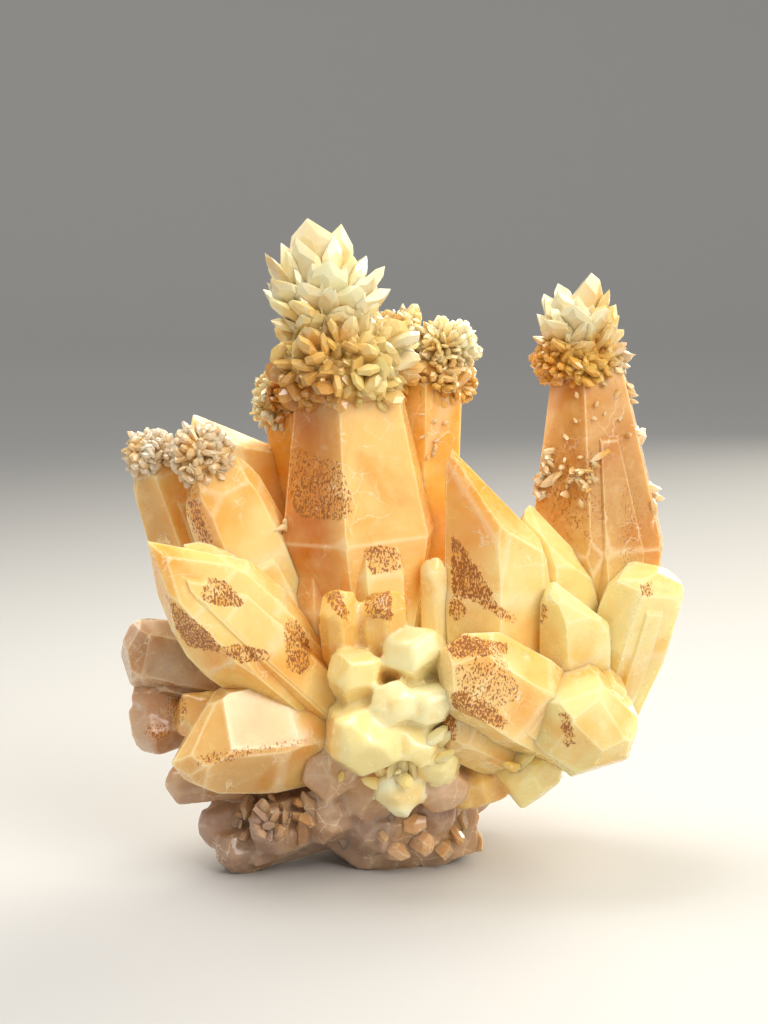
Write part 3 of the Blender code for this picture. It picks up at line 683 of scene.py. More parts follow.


# The large crystals: their shape as in the solids, then their looks. Tones run from root to tip, and
# a second pair of tones tints the left and the right side apart: painted shade on the darker side and
# painted light on the paler one. Satellites are the thin parallel crystals that stand out of a crystal's
# sides. Rust patches are in millimetres as seen from the front, and densest at the first corner of
# their outline.

largeCrystals = {
    "front_right_crystal": dict(
        habit=dict(
            root=(37, -8, 28), tip=(8.6, -23, 49.0), width=18.5, depth=16, roll=30, taper=3, flare=6,
            point=54, facets=3, apex=(2.0, 0.5), shoulder=1.2,
        ),
        finish="honey", tones=("sand", "honey", "honey"), satellites=2,
        rust=[
            dict(
                outline=[(9.4, 46.0), (13.0, 48.0), (23.0, 46.0), (21.4, 44.0), (11.0, 43.4)],
                strength=0.9, fade=0.3, limit=-0.6,
            ),
            dict(
                outline=[(11.4, 42.0), (21.0, 43.2), (25.0, 36.0), (20.0, 33.6), (12.0, 37.2)],
                strength=0.42, fade=0.3,
            ),
            dict(
                outline=[(10.2, 36.0), (12.0, 37.6), (22.6, 31.0), (21.0, 29.2), (11.4, 33.2)],
                strength=1.0, fade=0.3, limit=-0.6,
            ),
        ],
    ),
    "lower_front_crystal": dict(
        habit=dict(
            root=(26, -5, 24), tip=(8.4, -18, 34), width=11.5, depth=11, roll=12, taper=3, point=54,
            facets=3, apex=(1.0, 0), shoulder=0.8,
        ),
        finish="honey", tones=("sand", "honey", "amber"), satellites=1,
        rust=[
            dict(
                outline=[(8.6, 31.6), (10.2, 33.4), (12.2, 30.8), (11.8, 26.4), (9.0, 27.2)],
                strength=1.0, fade=0.4, limit=-0.5,
            ),
            dict(outline=[(15.0, 29.2), (17.8, 29.6), (16.6, 26.4)], strength=0.5),
        ],
    ),
    "lower_right_crystal": dict(
        habit=dict(
            root=(34, 0, 37), tip=(39.0, -27, 31.4), width=20.5, depth=17.5, roll=16, taper=4, flare=6,
            point=64, facets=3, apex=(1.0, 1.0), shoulder=1.6,
        ),
        finish="pale", tones=("lemon", "lemon", "green"), sides=("lemon", "green", 0.5), satellites=2,
        rust=[
            dict(
                outline=[(32.2, 29.6), (31.4, 33.6), (33.6, 32.8), (35.0, 26.8), (33.0, 25.6)],
                strength=0.85,
            ),
        ],
    ),
    "right_front_blade": dict(
        habit=dict(
            root=(20.6, -4, 36), tip=(11.0, -10, 87.5), crown=(20.2, -8, 84), width=20.4, depth=14,
            taper=1, flare=4, point=39, facets=6, shoulder=0.8,
        ),
        finish="honey", tones=("cream", "straw", "orange"), sides=("orange", "sand", 0.45), satellites=3,
        rust=[
            dict(
                outline=[(11.0, 62.0), (10.8, 68.0), (13.8, 64.4), (19.0, 56.0),
                         (19.6, 52.4), (15.0, 54.0), (10.8, 55.6)],
                strength=1.0, fade=0.4, limit=-0.2,
            ),
            dict(outline=[(15.0, 54.4), (19.4, 54.4), (25.8, 49.2), (22.0, 49.6)], strength=0.8),
            dict(
                outline=[(10.8, 54.8), (13.4, 54.4), (14.6, 51.6), (12.2, 49.6), (10.4, 50.8)],
                strength=0.8, limit=-0.3,
            ),
        ],
    ),
    "right_pale_blade": dict(
        habit=dict(
            root=(36.5, -6, 34), tip=(31.0, -13, 61.5), crown=(34.6, -12, 59), width=14.0, depth=9,
            roll=8, taper=3, flare=3, point=44, facets=6, shoulder=0.8,
        ),
        finish="pale", tones=("cream", "lemon", "lemon"), satellites=2,
        rust=[
            dict(outline=[(29.0, 54.0), (30.2, 52.8), (29.8, 48.8), (28.2, 49.6)], strength=0.8),
        ],
    ),
    "right_rear_blade": dict(
        habit=dict(
            root=(33.5, 1, 34), tip=(26.6, -4, 75.5), crown=(31.6, -3, 72), width=18.0, depth=11, taper=4,
            flare=4, point=36, facets=6, shoulder=0.7,
        ),
        finish="honey", tones=("cream", "straw", "straw"), satellites=3,
    ),
    "right_outer_crystal": dict(
        habit=dict(
            root=(43.0, -1, 33), tip=(50.8, -6, 63.2), width=15.6, depth=10, roll=4, taper=1, flare=7,
            point=66, facets=3, apex=(1.6, 0), shoulder=1.4,
        ),
        finish="pale", tones=("lemon", "green", "lemon"), satellites=2,
        rust=[
            dict(outline=[(48.6, 54.0), (48.2, 57.2), (50.6, 58.4), (51.4, 55.6)], strength=0.7),
        ],
    ),
    "left_front_crystal": dict(
        habit=dict(
            root=(-14.5, -5, 34), tip=(-49.2, -16, 70.2), width=21.6, depth=16, roll=10, taper=3, flare=7,
            point=31, facets=6, apex=(0.5, 1.0), shoulder=1.4,
        ),
        finish="honey", tones=("honey", "straw", "honey"), sides=("orange", "sand", 0.35), satellites=3,
        rust=[
            dict(
                outline=[(-29.0, 53.2), (-32.6, 58.0), (-36.2, 59.4), (-38.0, 55.0), (-34.6, 53.2)],
                strength=0.95,
            ),
            dict(
                outline=[(-33.8, 44.0), (-35.4, 47.6), (-44.6, 55.6), (-42.8, 48.8), (-40.8, 45.2)],
                strength=1.0, fade=0.35, limit=-0.3,
            ),
            dict(
                outline=[(-33.8, 45.6), (-28.8, 45.8), (-21.8, 43.0), (-30.0, 42.0), (-33.6, 43.8)],
                strength=0.8, fade=0.3,
            ),
            dict(
                outline=[(-16.4, 44.4), (-18.4, 49.8), (-21.2, 51.2),
                         (-22.0, 48.0), (-21.2, 40.4), (-17.2, 39.2)],
                strength=0.85, fade=0.5,
            ),
        ],
    ),
    "lower_left_crystal": dict(
        habit=dict(
            root=(-9, -3, 29.5), tip=(-44.8, -18, 28.5), width=21.0, depth=16, taper=4, flare=4, point=50,
            facets=6, apex=(-2.6, 1.0), shoulder=1.8,
        ),
        finish="honey", tones=("tan", "toffee", "tan"), satellites=2,
        rust=[
            dict(at=(-33, 24), size=(8, 1.4), turn=10, strength=0.55),
            dict(at=(-22, 26), size=(7, 1.0), turn=8, strength=0.4),
        ],
    ),
    "left_crystal": dict(
        habit=dict(
            root=(-21, 1, 44), tip=(-38.8, -3, 87.0), width=17.0, depth=14, roll=14, taper=4, flare=3,
            point=40, facets=3, apex=(0.5, 0), shoulder=1.2,
        ),
        finish="honey", tones=("cream", "straw", "honey"), sides=("orange", "sand", 0.45), satellites=2,
        rust=[
            dict(at=(-39, 70), size=(12, 1.8), turn=-70, strength=0.75, limit=-0.7),
        ],
    ),
    "left_outer_crystal": dict(
        habit=dict(
            root=(-34, 8, 42), tip=(-49.4, 6, 85.6), width=14.0, depth=12, roll=4, taper=3, flare=2,
            point=50, facets=3, apex=(0.5, 0), shoulder=1.0,
        ),
        finish="honey", tones=("sand", "tan", "tan"), sides=("brown", "tan", 0.5), satellites=2,
    ),
    "left_rear_crystal": dict(
        habit=dict(
            root=(-19, 10, 42), tip=(-41.0, 13, 91.0), crown=(-33.0, 13, 88), width=20.0, depth=10,
            taper=3, flare=2, point=47, facets=6, shoulder=0.8,
        ),
        finish="honey", tones=("cream", "honey", "straw"), satellites=2,
    ),
    "middle_column": dict(
        habit=dict(
            root=(-5.0, -1, 36), tip=(-9.6, 0, 100), width=29.0, depth=24, roll=8, taper=8.5, flare=13,
            belly=0.5, point=84, facets=3,
        ),
        finish="honey", tones=("cream", "tan", "tan"), sides=("deep", "tan", 0.92), satellites=3,
        rust=[
            dict(
                outline=[(-19.0, 70.0), (-23.0, 80.0), (-20.6, 84.4), (-11.4, 81.6), (-8.6, 76.0),
                         (-7.8, 64.4), (-11.4, 59.6), (-19.0, 62.8), (-23.8, 70.0)],
                strength=0.9, fade=0.75,
            ),
            dict(
                outline=[(-6.6, 64.4), (-2.2, 65.2), (1.4, 63.6), (1.6, 60.0), (-4.6, 59.4)],
                strength=0.75,
            ),
        ],
    ),
    "middle_right_column": dict(
        habit=dict(
            root=(4.5, 9, 42), tip=(6.8, 10, 99), width=13.6, depth=14, taper=0.5, flare=2, point=80,
            facets=3,
        ),
        finish="honey", tones=("sand", "honey", "orange"), sides=("honey", "orange", 0.4), satellites=2,
    ),
    "middle_left_column": dict(
        habit=dict(
            root=(-16, 11, 44), tip=(-20.0, 13, 92), width=12.0, depth=12, roll=10, taper=0.5, flare=2,
            point=80, facets=3,
        ),
        finish="honey", tones=("honey", "orange", "orange"), satellites=1,
    ),
    "right_column": dict(
        habit=dict(
            root=(42.2, 8, 40), tip=(38.4, 10, 103), width=27.6, depth=24, roll=6, taper=10, flare=14,
            belly=0.38, point=82, facets=3,
        ),
        finish="honey", tones=("tan", "brown", "amber"), sides=("amber", "brown", 0.45), satellites=3,
        rust=[
            dict(at=(36, 76), size=(9, 14), strength=0.25),
            dict(at=(47, 70), size=(4, 14), strength=0.22),
        ],
    ),
    "far_left_crystal": dict(
        habit=dict(
            root=(-30, 8, 36.5), tip=(-55.6, 2, 44.0), width=14.0, depth=13, roll=18, taper=1, flare=4,
            point=68, facets=3, apex=(2.2, 0), shoulder=1.2,
        ),
        finish="pale", tones=("pink", "mauve", "pink"), satellites=2,
    ),
    "back_left_crystal": dict(
        habit=dict(
            root=(-19, 12, 36), tip=(-30, 32, 70), width=15.5, depth=14, roll=5, taper=4, flare=4,
            point=44, facets=6, shoulder=1.4,
        ),
        finish="honey", tones=("cream", "sand", "honey"), satellites=2,
        rust=[
            dict(at=(-27, 60), size=(5, 2.5), turn=40, strength=0.7, facing=(0, 1, 0)),
        ],
    ),
    "back_middle_crystal": dict(
        habit=dict(
            root=(1, 15, 36), tip=(3, 31, 82), width=18.0, depth=15, roll=12, taper=4, flare=4, point=40,
            facets=3, shoulder=1.6,
        ),
        finish="honey", tones=("cream", "sand", "orange"), satellites=3,
        rust=[
            dict(at=(2, 64), size=(9, 4), turn=80, strength=0.8, facing=(0, 1, 0)),
        ],
    ),
    "back_right_crystal": dict(
        habit=dict(
            root=(23, 12, 34), tip=(29, 35, 63), width=15.5, depth=13, taper=4, flare=5, point=46,
            facets=3, shoulder=1.2,
        ),
        finish="honey", tones=("cream", "straw", "honey"), satellites=2,
    ),
    "back_low_crystal": dict(
        habit=dict(
            root=(4, 12, 26), tip=(8, 38, 34), width=17.0, depth=15, roll=22, taper=5, flare=4, point=54,
            facets=3, shoulder=1.6,
        ),
        finish="pale", tones=("sand", "straw", "lemon"), satellites=2,
        rust=[
            dict(at=(6, 36), size=(4, 3), strength=0.6, facing=(0, 1, 0)),
        ],
    ),
}
satelliteLook = dict(
    width=(0.38, 0.58), proud=(0.25, 0.75), reach=(0.45, 0.86), shaves=dict(shaves=3, shaveDepth=0.3),
    flare=3, point=62,
)
companionLook = dict(
    width=(0.45, 0.75), lean=(0.26, 0.50), reach=(0.76, 1.0), roll=(0, 60), taper=(2, 9), point=(44, 64),
    facets=(3, 6),
)


def camelName(node):
    first, *others = node.split("_")
    return first + "".join(word.capitalize() for word in others)


def paintedGlow(place):
    # painted light: a glow painted into the stone, palest low in the middle of the front, as if lit through
    # from behind
    return 1 - smooth((Vector(place) - Vector((6, -18, 40))).length, 6, 30)


# painted shade: darkest low on the left, where the underside lies in shade
def paintedShade(place):
    return (1 - smooth(place.z, 18, 40)) * (1 - smooth(place.x, -34, -12))


def crystalTint(habit, names, sides=None):
    root, crown = Vector(habit["root"]), Vector(habit.get("crown") or habit["tip"])
    axis = crown - root
    side = square(axis.normalized())[0]
    first, second, third = (tones[name] for name in names)

    def colourAt(place):
        share = (place - root).dot(axis) / axis.length_squared
        colour = blendTones(first, second, smooth(share, 0.15, 0.6))
        colour = blendTones(colour, third, smooth(share, 0.55, 1.0))
        # painted light and shade: one side of the crystal is tinted darker as painted shade, the other
        # paler as painted light
        if sides:
            left, right, strength = sides
            across = (place - root - axis * share).dot(side) / habit["width"] + 0.5
            edge = tones[left] if across < 0.5 else tones[right]
            strength *= smooth(abs(across - 0.5), 0.01, 0.24) * smooth(share, 0.15, 0.45)
            colour = blendTones(colour, edge, strength)
        # painted light: the painted glow lightens the middle of the front towards milk
        colour = blendTones(colour, tones["milk"], 0.6 * paintedGlow(place))
        # painted shade: darkened towards mauve on the lower left
        return blendTones(colour, tones["mauve"], 0.35 * paintedShade(place))

    return colourAt


def satelliteHabit(habit, chance):
    # the same crystal again, thinner, shorter and moved to one side, in parallel
    root, crown = Vector(habit["root"]), Vector(habit.get("crown") or habit["tip"])
    axis = (crown - root).normalized()
    side, front = square(axis)
    share = chance.uniform(*satelliteLook["width"])
    turn = math.radians(habit.get("roll", 0) + 60 * chance.randrange(6) + chance.uniform(-16, 16))
    outward = side * math.cos(turn) + front * math.sin(turn)
    reach = math.hypot(habit["width"] / 2 * math.cos(turn), habit["depth"] / 2 * math.sin(turn))
    belly = habit.get("belly", 0.45)
    length = (crown - root).length * chance.uniform(*satelliteLook["reach"])
    shift = outward * (reach * (1 - share) + chance.uniform(*satelliteLook["proud"]))
    narrowing = outward * math.tan(math.radians(habit["taper"]))
    narrowing *= max(0.0, length * 0.5 - belly * length) * 0.5
    foot = root + shift
    tip = root + axis * length + shift - narrowing
    point = min(habit["point"], satelliteLook["point"])
    return dict(
        root=tuple(foot), tip=tuple(tip), width=habit["width"] * share, depth=habit["depth"] * share,
        roll=habit.get("roll", 0), taper=habit["taper"], belly=0.5, point=point, shoulder=0.5,
        flare=min(habit.get("flare", 0), satelliteLook["flare"]),
    )


def makeLargeCrystals():
    made = {}
    for node, crystal in largeCrystals.items():
        name = camelName(node)
        chance = random.Random(node)
        habit = crystal["habit"]
        axis = (Vector(habit.get("crown") or habit["tip"]) - Vector(habit["root"])).normalized()
        colourAt = crystalTint(habit, crystal["tones"], crystal.get("sides"))
        block, faces = cleaveCrystal(name, habit)
        blocks, bodies = [block], [faces]
        for k in range(crystal["satellites"]):
            thinHabit = satelliteHabit(habit, chance)
            thin, thinFaces = cleaveCrystal(f"{name}Satellite{k}", thinHabit, **satelliteLook["shaves"])
            blocks.append(thin)
            bodies.append(thinFaces)
        piece = uniteBlocks(blocks)
        finishFaces(piece, (axis, *square(axis)))
        colourCrystal(piece, bodies, colourAt, crystal.get("rust"))
        finishPiece(piece, crystal["finish"], slotOf[crystal["finish"]], node)
        made[node] = piece
    return made


large = makeLargeCrystals()
print("large crystals done", sum(len(piece.data.polygons) for piece in large.values()))


# Leaves: the small crystals of the druse, modelled once in five forms and then copied

leafForms = dict(
    petal=dict(roll=0, taper=5, flare=11, belly=0.66, point=68, facets=6, shoulder=0.4),
    dagger=dict(roll=0, taper=8, flare=7, belly=0.5, point=48, facets=3, shoulder=0.3),
    stub=dict(roll=0, taper=3, flare=12, belly=0.7, point=72, facets=3, shoulder=0.4),
    chisel=dict(roll=30, taper=6, flare=9, belly=0.66, point=62, facets=3, shoulder=0.4, apex=(1.3, 0)),
    tablet=dict(roll=15, taper=4, flare=15, belly=0.66, point=74, facets=6, shoulder=0.3),
)
leafMasters = {}


def makeLeafMasters():
    for kind, habit in leafForms.items():
        faces = crystalFaces(root=(0, 0, 0), tip=(0, 0, 10), width=10, depth=10, **habit)
        block = cleaveBlock(kind + "Leaf", (0, 0, 5), 14, faces)
        bpy.ops.object.mode_set(mode="OBJECT")
        mesh = block.data
        for name, value in (("rim", 0.8), ("rust", 0.0)):
            attribute = mesh.attributes.new(name, "FLOAT", "POINT")
            attribute.data.foreach_set("value", np.full(len(mesh.vertices), value, dtype=np.float32))
        mesh.attributes.new("tint", "FLOAT_COLOR", "POINT")
        leafMasters[kind] = (mesh, meshArrays(mesh)[:, 2] / 10)
        bpy.data.objects.remove(block)


makeLeafMasters()


def squareTo(direction, chance, wander=0.5):
    level = Vector((0, 0, 1)).cross(direction)
    if level.length < 0.2:
        level = Vector((1, 0, 0)) - direction * direction.x
    return Matrix.Rotation(chance.gauss(0, wander), 3, direction) @ level.normalized()


def placeLeaf(kind, foot, direction, across, length, width, thick, tones2):
    master, shares = leafMasters[kind]
    mesh = master.copy()
    across = (across - direction * across.dot(direction)).normalized()
    beside = direction.cross(across)
    turn = Matrix((across * width / 10, beside * thick / 10, direction * length / 10)).transposed().to_4x4()
    mesh.transform(Matrix.Translation(foot * mm) @ turn)
    rootTone, tipTone = (np.array(tone) for tone in tones2)
    colours = np.ones((len(shares), 4), dtype=np.float32)
    colours[:, :3] = rootTone + (tipTone - rootTone) * np.clip(shares, 0, 1)[:, None] ** 1.3
    mesh.attributes["tint"].data.foreach_set("color", colours.ravel())
    leaf = bpy.data.objects.new("leaf", mesh)
    bpy.context.scene.collection.objects.link(leaf)
    return leaf


def onLump(size, normal):
    centre, radii = Vector(size["centre"]), Vector(size["radii"])
    return centre + Vector(normal[i] * radii[i] for i in range(3))


def leanFrom(normal, chance, wander):
    return (normal + Vector(chance.gauss(0, wander) for _ in range(3))).normalized()


def scatterLeaf(look, place, way, length, width, tones2, chance):
    kind = look["kinds"][chance.randrange(len(look["kinds"]))]
    return placeLeaf(
        kind, place - way * length * look["sunk"], way, squareTo(way, chance, 1.5), length, width,
        width * look["flat"], tones2,
    )


ringLook = dict(
    turn=(-14, 14), lean=(0.75, 1.2), twist=0.25, length=(0.88, 1.08), width=(0.85, 1.15), apart=0.12,
    shade=(0.84, 1.08),
)


def bundle(foot, direction, across, length, width, flat, rings, kinds, toneAt, chance):
    # leaves that spread from one foot, ring by ring: count, lean, length and width shares
    leaves = []
    for count, lean, reach, share in rings:
        start = chance.uniform(0, 360)
        for k in range(count):
            turn = math.radians(start + 360 * k / count + chance.uniform(*ringLook["turn"]))
            spin = Matrix.Rotation(turn, 3, direction)
            swing = spin @ across
            tilt = math.radians(lean * chance.uniform(*ringLook["lean"]))
            way = (direction * math.cos(tilt) + swing * math.sin(tilt)).normalized()
            flatWay = direction.cross(swing) if lean else across
            flatWay = Matrix.Rotation(chance.gauss(0, ringLook["twist"]), 3, way) @ flatWay
            long = length * reach * chance.uniform(*ringLook["length"])
            wide = width * share * chance.uniform(*ringLook["width"])
            leafFoot = foot + swing * width * ringLook["apart"] * bool(lean)
            tip = leafFoot + way * long
            kind = kinds[chance.randrange(len(kinds))]
            shade = chance.uniform(*ringLook["shade"])
            pair = [tuple(min(1.0, c * shade) for c in tone) for tone in toneAt(tip)]
            leaves.append(placeLeaf(kind, leafFoot, way, flatWay, long, wide, wide * flat, pair))
    return leaves


# The druse caps: the solids' lumps and leaf places, each leaf place carrying a whole rosette

druseCaps = {
    "middle_druse_cap": dict(
        lumps=[
            dict(centre=(-10.6, 0, 102.0), radii=(11.8, 11.0, 9.4), seed=21),
            dict(centre=(-13.4, 0, 110.6), radii=(6.8, 6.4, 6.2), seed=22),
            dict(centre=(8.2, 9.5, 98.4), radii=(7.0, 6.8, 5.4), seed=23),
            dict(centre=(10.4, 9.3, 104.0), radii=(4.6, 4.6, 4.4), seed=24),
            dict(centre=(0.6, 11.0, 106.5), radii=(4.2, 4.2, 4.0), seed=25),
        ],
        rows=[
            dict(
                lump=0, count=23, cone=126, length=4.6, reach=1.2, radius=3.7, pole=(0.1, -0.2, 1),
                seed=1,
            ),
            dict(
                lump=2, count=7, cone=116, length=2.2, reach=1.0, radius=2.0, pole=(0.3, -0.2, 0.6),
                seed=3,
            ),
            dict(
                lump=3, count=11, cone=100, length=3.0, reach=1.3, radius=1.9, pole=(0.3, -0.2, 1),
                seed=4,
            ),
            dict(lump=4, count=5, cone=84, length=2.8, reach=1.2, radius=1.8, pole=(0.1, 0.1, 1), seed=5),
        ],
        fill=(190, 40, 90, 60, 50),
        spray=dict(centre=(-13.6, -0.5, 109.0), blades=[
            ((-17.0, 0, 131.2), 9.0), ((-10.6, 2, 129.4), 6.4), ((-23.6, 1, 128.2), 7.0),
            ((-25.0, -2, 123.6), 6.0), ((-24.6, -6, 120.4), 7.4), ((-12.6, -9, 124.0), 7.0),
            ((-5.4, -1, 124.6), 7.4), ((-2.6, 2, 121.0), 6.4), ((-1.4, -3, 117.6), 6.8),
            ((-18.4, -9, 120.6), 7.0), ((-8.0, -9, 118.8), 6.4), ((-16.0, 11, 123.0), 7.4),
            ((-6.0, 10, 120.6), 6.8), ((-23.0, 8, 120.4), 6.8),
        ]),
    ),
    "middle_left_druse": dict(
        lumps=[dict(centre=(-23.0, 12.5, 93.4), radii=(4.6, 5.8, 5.6), seed=26)],
        rows=[
            dict(
                lump=0, count=7, cone=112, length=2.2, reach=1.2, radius=2.0, pole=(-0.5, -0.1, 1),
                seed=6,
            ),
        ],
        fill=(110,),
    ),
    "right_druse_cap": dict(
        lumps=[
            dict(centre=(37.4, 10, 101.5), radii=(7.8, 7.6, 4.9), seed=27),
            dict(centre=(37.0, 9.6, 106.0), radii=(6.4, 6.2, 5.0), seed=28),
        ],
        rows=[
            dict(lump=0, count=15, cone=118, length=3.0, reach=1.0, radius=2.9, pole=(0, -0.1, 1), seed=7),
        ],
        fill=(130, 50),
        spray=dict(centre=(37.4, 9.6, 102.6), blades=[
            ((29.0, 9, 116.4), 6.4), ((32.8, 11, 119.0), 6.8), ((38.6, 10, 120.0), 6.4),
            ((43.0, 9, 116.4), 5.8), ((46.0, 10, 112.0), 5.8), ((35.4, 0.6, 115.4), 6.6),
            ((41.0, 1.6, 113.6), 6.0), ((30.2, 2.6, 110.8), 5.8), ((33.6, 18.4, 114.0), 6.4),
            ((41.8, 17.6, 113.4), 6.0),
        ]),
    ),
    "left_outer_druse": dict(
        lumps=[dict(centre=(-49.0, 5.0, 83.6), radii=(4.2, 4.6, 3.8), seed=29)],
        rows=[
            dict(
                lump=0, count=7, cone=112, length=2.0, reach=1.2, radius=2.0, pole=(-0.2, -0.3, 1),
                seed=9,
            ),
        ],
        fill=(80,),
    ),
    "left_druse": dict(
        lumps=[dict(centre=(-38.2, -3.2, 84.4), radii=(5.2, 5.0, 5.2), seed=30)],
        rows=[
            dict(lump=0, count=9, cone=116, length=2.0, reach=1.2, radius=2.2, pole=(0, -0.4, 1), seed=10),
        ],
        fill=(110,),
    ),
}
# flat is a leaf's thickness as a share of its width, sunk the share of its length in the stone
fillLook = dict(
    kinds=("stub", "chisel", "petal"), length=(3.0, 4.6), width=(1.3, 2.4), wander=0.4, sunk=0.5,
    flat=0.7,
)
rosetteFlat, sprayFlat = 0.44, 0.42
rosetteKinds, sprayKinds = ("petal", "chisel", "stub", "dagger"), ("petal", "petal", "chisel")
coreLook = dict(inset=0.6, facets=30)
rosetteRings = [(1, 0, 1.0, 1.10), (5, 26, 0.88, 1.0), (6, 50, 0.74, 0.9)]
sprayRings = [(1, 0, 1.0, 0.95), (3, 12, 0.84, 0.75), (4, 28, 0.66, 0.65)]


def druseTones(place):
    # root and tip tone of a leaf by where its tip is
    x, y, z = place
    if x > 24:
        high = smooth(z, 103, 113)
        root = blendTones(tones["golden"], tones["straw"], high)
        tip = blendTones(tones["golden"], tones["white"], high)
        pink = smooth(x, 42, 47) * (1 - smooth(z, 104, 109))
        return blendTones(root, tones["tan"], pink), blendTones(tip, (0.72, 0.54, 0.36), pink)
    if x < -31:
        return tones["tan"], (0.86, 0.76, 0.62)
    if x < -17 and y > 7 and z < 101:
        return tones["golden"], tones["white"]
    if x > 2.5:
        high = smooth(z, 97, 105)
        root = blendTones(tones["amber"], tones["straw"], high)
        return root, blendTones(tones["golden"], tones["white"], high)
    high = smooth(z, 104, 121)
    root = blendTones(tones["golden"], tones["straw"], high)
    tip = blendTones(tones["straw"], tones["white"], high)
    right = smooth(x, -10, -1) * (1 - high)
    root, tip = blendTones(root, tones["straw"], right), blendTones(tip, tones["cream"], right)
    # painted shade: the lower left of the middle cap is darkened to deep orange and amber for its shaded
    # underside
    left = (1 - smooth(x, -16, -7)) * (1 - smooth(z, 97, 107))
    root, tip = blendTones(root, tones["deep"], 0.8 * left), blendTones(tip, tones["amber"], 0.9 * left)
    rear = smooth(y, 5, 9) * smooth(z, 103, 106)
    return blendTones(root, tones["grey"], 0.5 * rear), blendTones(tip, (0.70, 0.68, 0.60), 0.7 * rear)


rowLook = dict(wander=(-0.22, 0.22), length=(0.8, 1.2), radius=(0.85, 1.2), sunk=1.1)


def rowPlaces(cap, row):
    chance = random.Random(row["seed"])
    pole = Vector(row["pole"]).normalized()
    tilt = Vector((0, 0, 1)).rotation_difference(pole)
    lowest = math.cos(math.radians(row["cone"]))
    for normal in spread(row["count"], chance, row["cone"]):
        upness = (normal.z - lowest) / (1 - lowest)
        normal = tilt @ normal
        surface = onLump(cap["lumps"][row["lump"]], normal)
        wander = Vector(chance.uniform(*rowLook["wander"]) for _ in range(3))
        direction = (normal + wander).normalized()
        length = row["length"] * (1 + (row["reach"] - 1) * upness) * chance.uniform(*rowLook["length"])
        radius = row["radius"] * chance.uniform(*rowLook["radius"])
        sunk = rowLook["sunk"] * row["radius"]
        yield surface - direction * sunk, direction, squareTo(direction, chance), length + sunk, radius


def makeCap(node, cap):
    chance = random.Random(node)
    parts = []
    for size in cap["lumps"]:
        radii = [radius - coreLook["inset"] for radius in size["radii"]]
        faces = lumpFaces(size["centre"], radii, size["seed"], coreLook["facets"])
        core = cleaveBlock("core", size["centre"], max(size["radii"]) * 1.4, faces)
        bpy.ops.object.mode_set(mode="OBJECT")
        refine(core, 2)
        writeTint(core.data, lambda place: druseTones(place)[0])
        parts.append(core)
    for row in cap["rows"]:
        for foot, direction, across, length, radius in rowPlaces(cap, row):
            parts += bundle(foot, direction, across, length, radius * 1.12, rosetteFlat, rosetteRings,
                            rosetteKinds, druseTones, chance)
    for size, count in zip(cap["lumps"], cap["fill"]):
        for normal in spread(count, chance):
            surface = onLump(size, normal)
            way = leanFrom(normal, chance, fillLook["wander"])
            length, width = chance.uniform(*fillLook["length"]), chance.uniform(*fillLook["width"])
            shades = druseTones(surface + way)
            parts.append(scatterLeaf(fillLook, surface, way, length, width, shades, chance))
    if "spray" in cap:
        centre = Vector(cap["spray"]["centre"])
        for tip, width in cap["spray"]["blades"]:
            way = Vector(tip) - centre
            direction = way.normalized()
            across = squareTo(direction, chance, 0.3)
            parts += bundle(centre, direction, across, way.length * 1.02, width, sprayFlat, sprayRings,
                            sprayKinds, druseTones, chance)
    piece = joinPieces(camelName(node), parts)
    finishPiece(piece, "druse", "druse", node)
    return piece


caps = {node: makeCap(node, cap) for node, cap in druseCaps.items()}
print("druse caps done", sum(len(piece.data.polygons) for piece in caps.values()))


# The base: the rough foot, the small blunt crystals of the front and underside, and finer ones on the rock

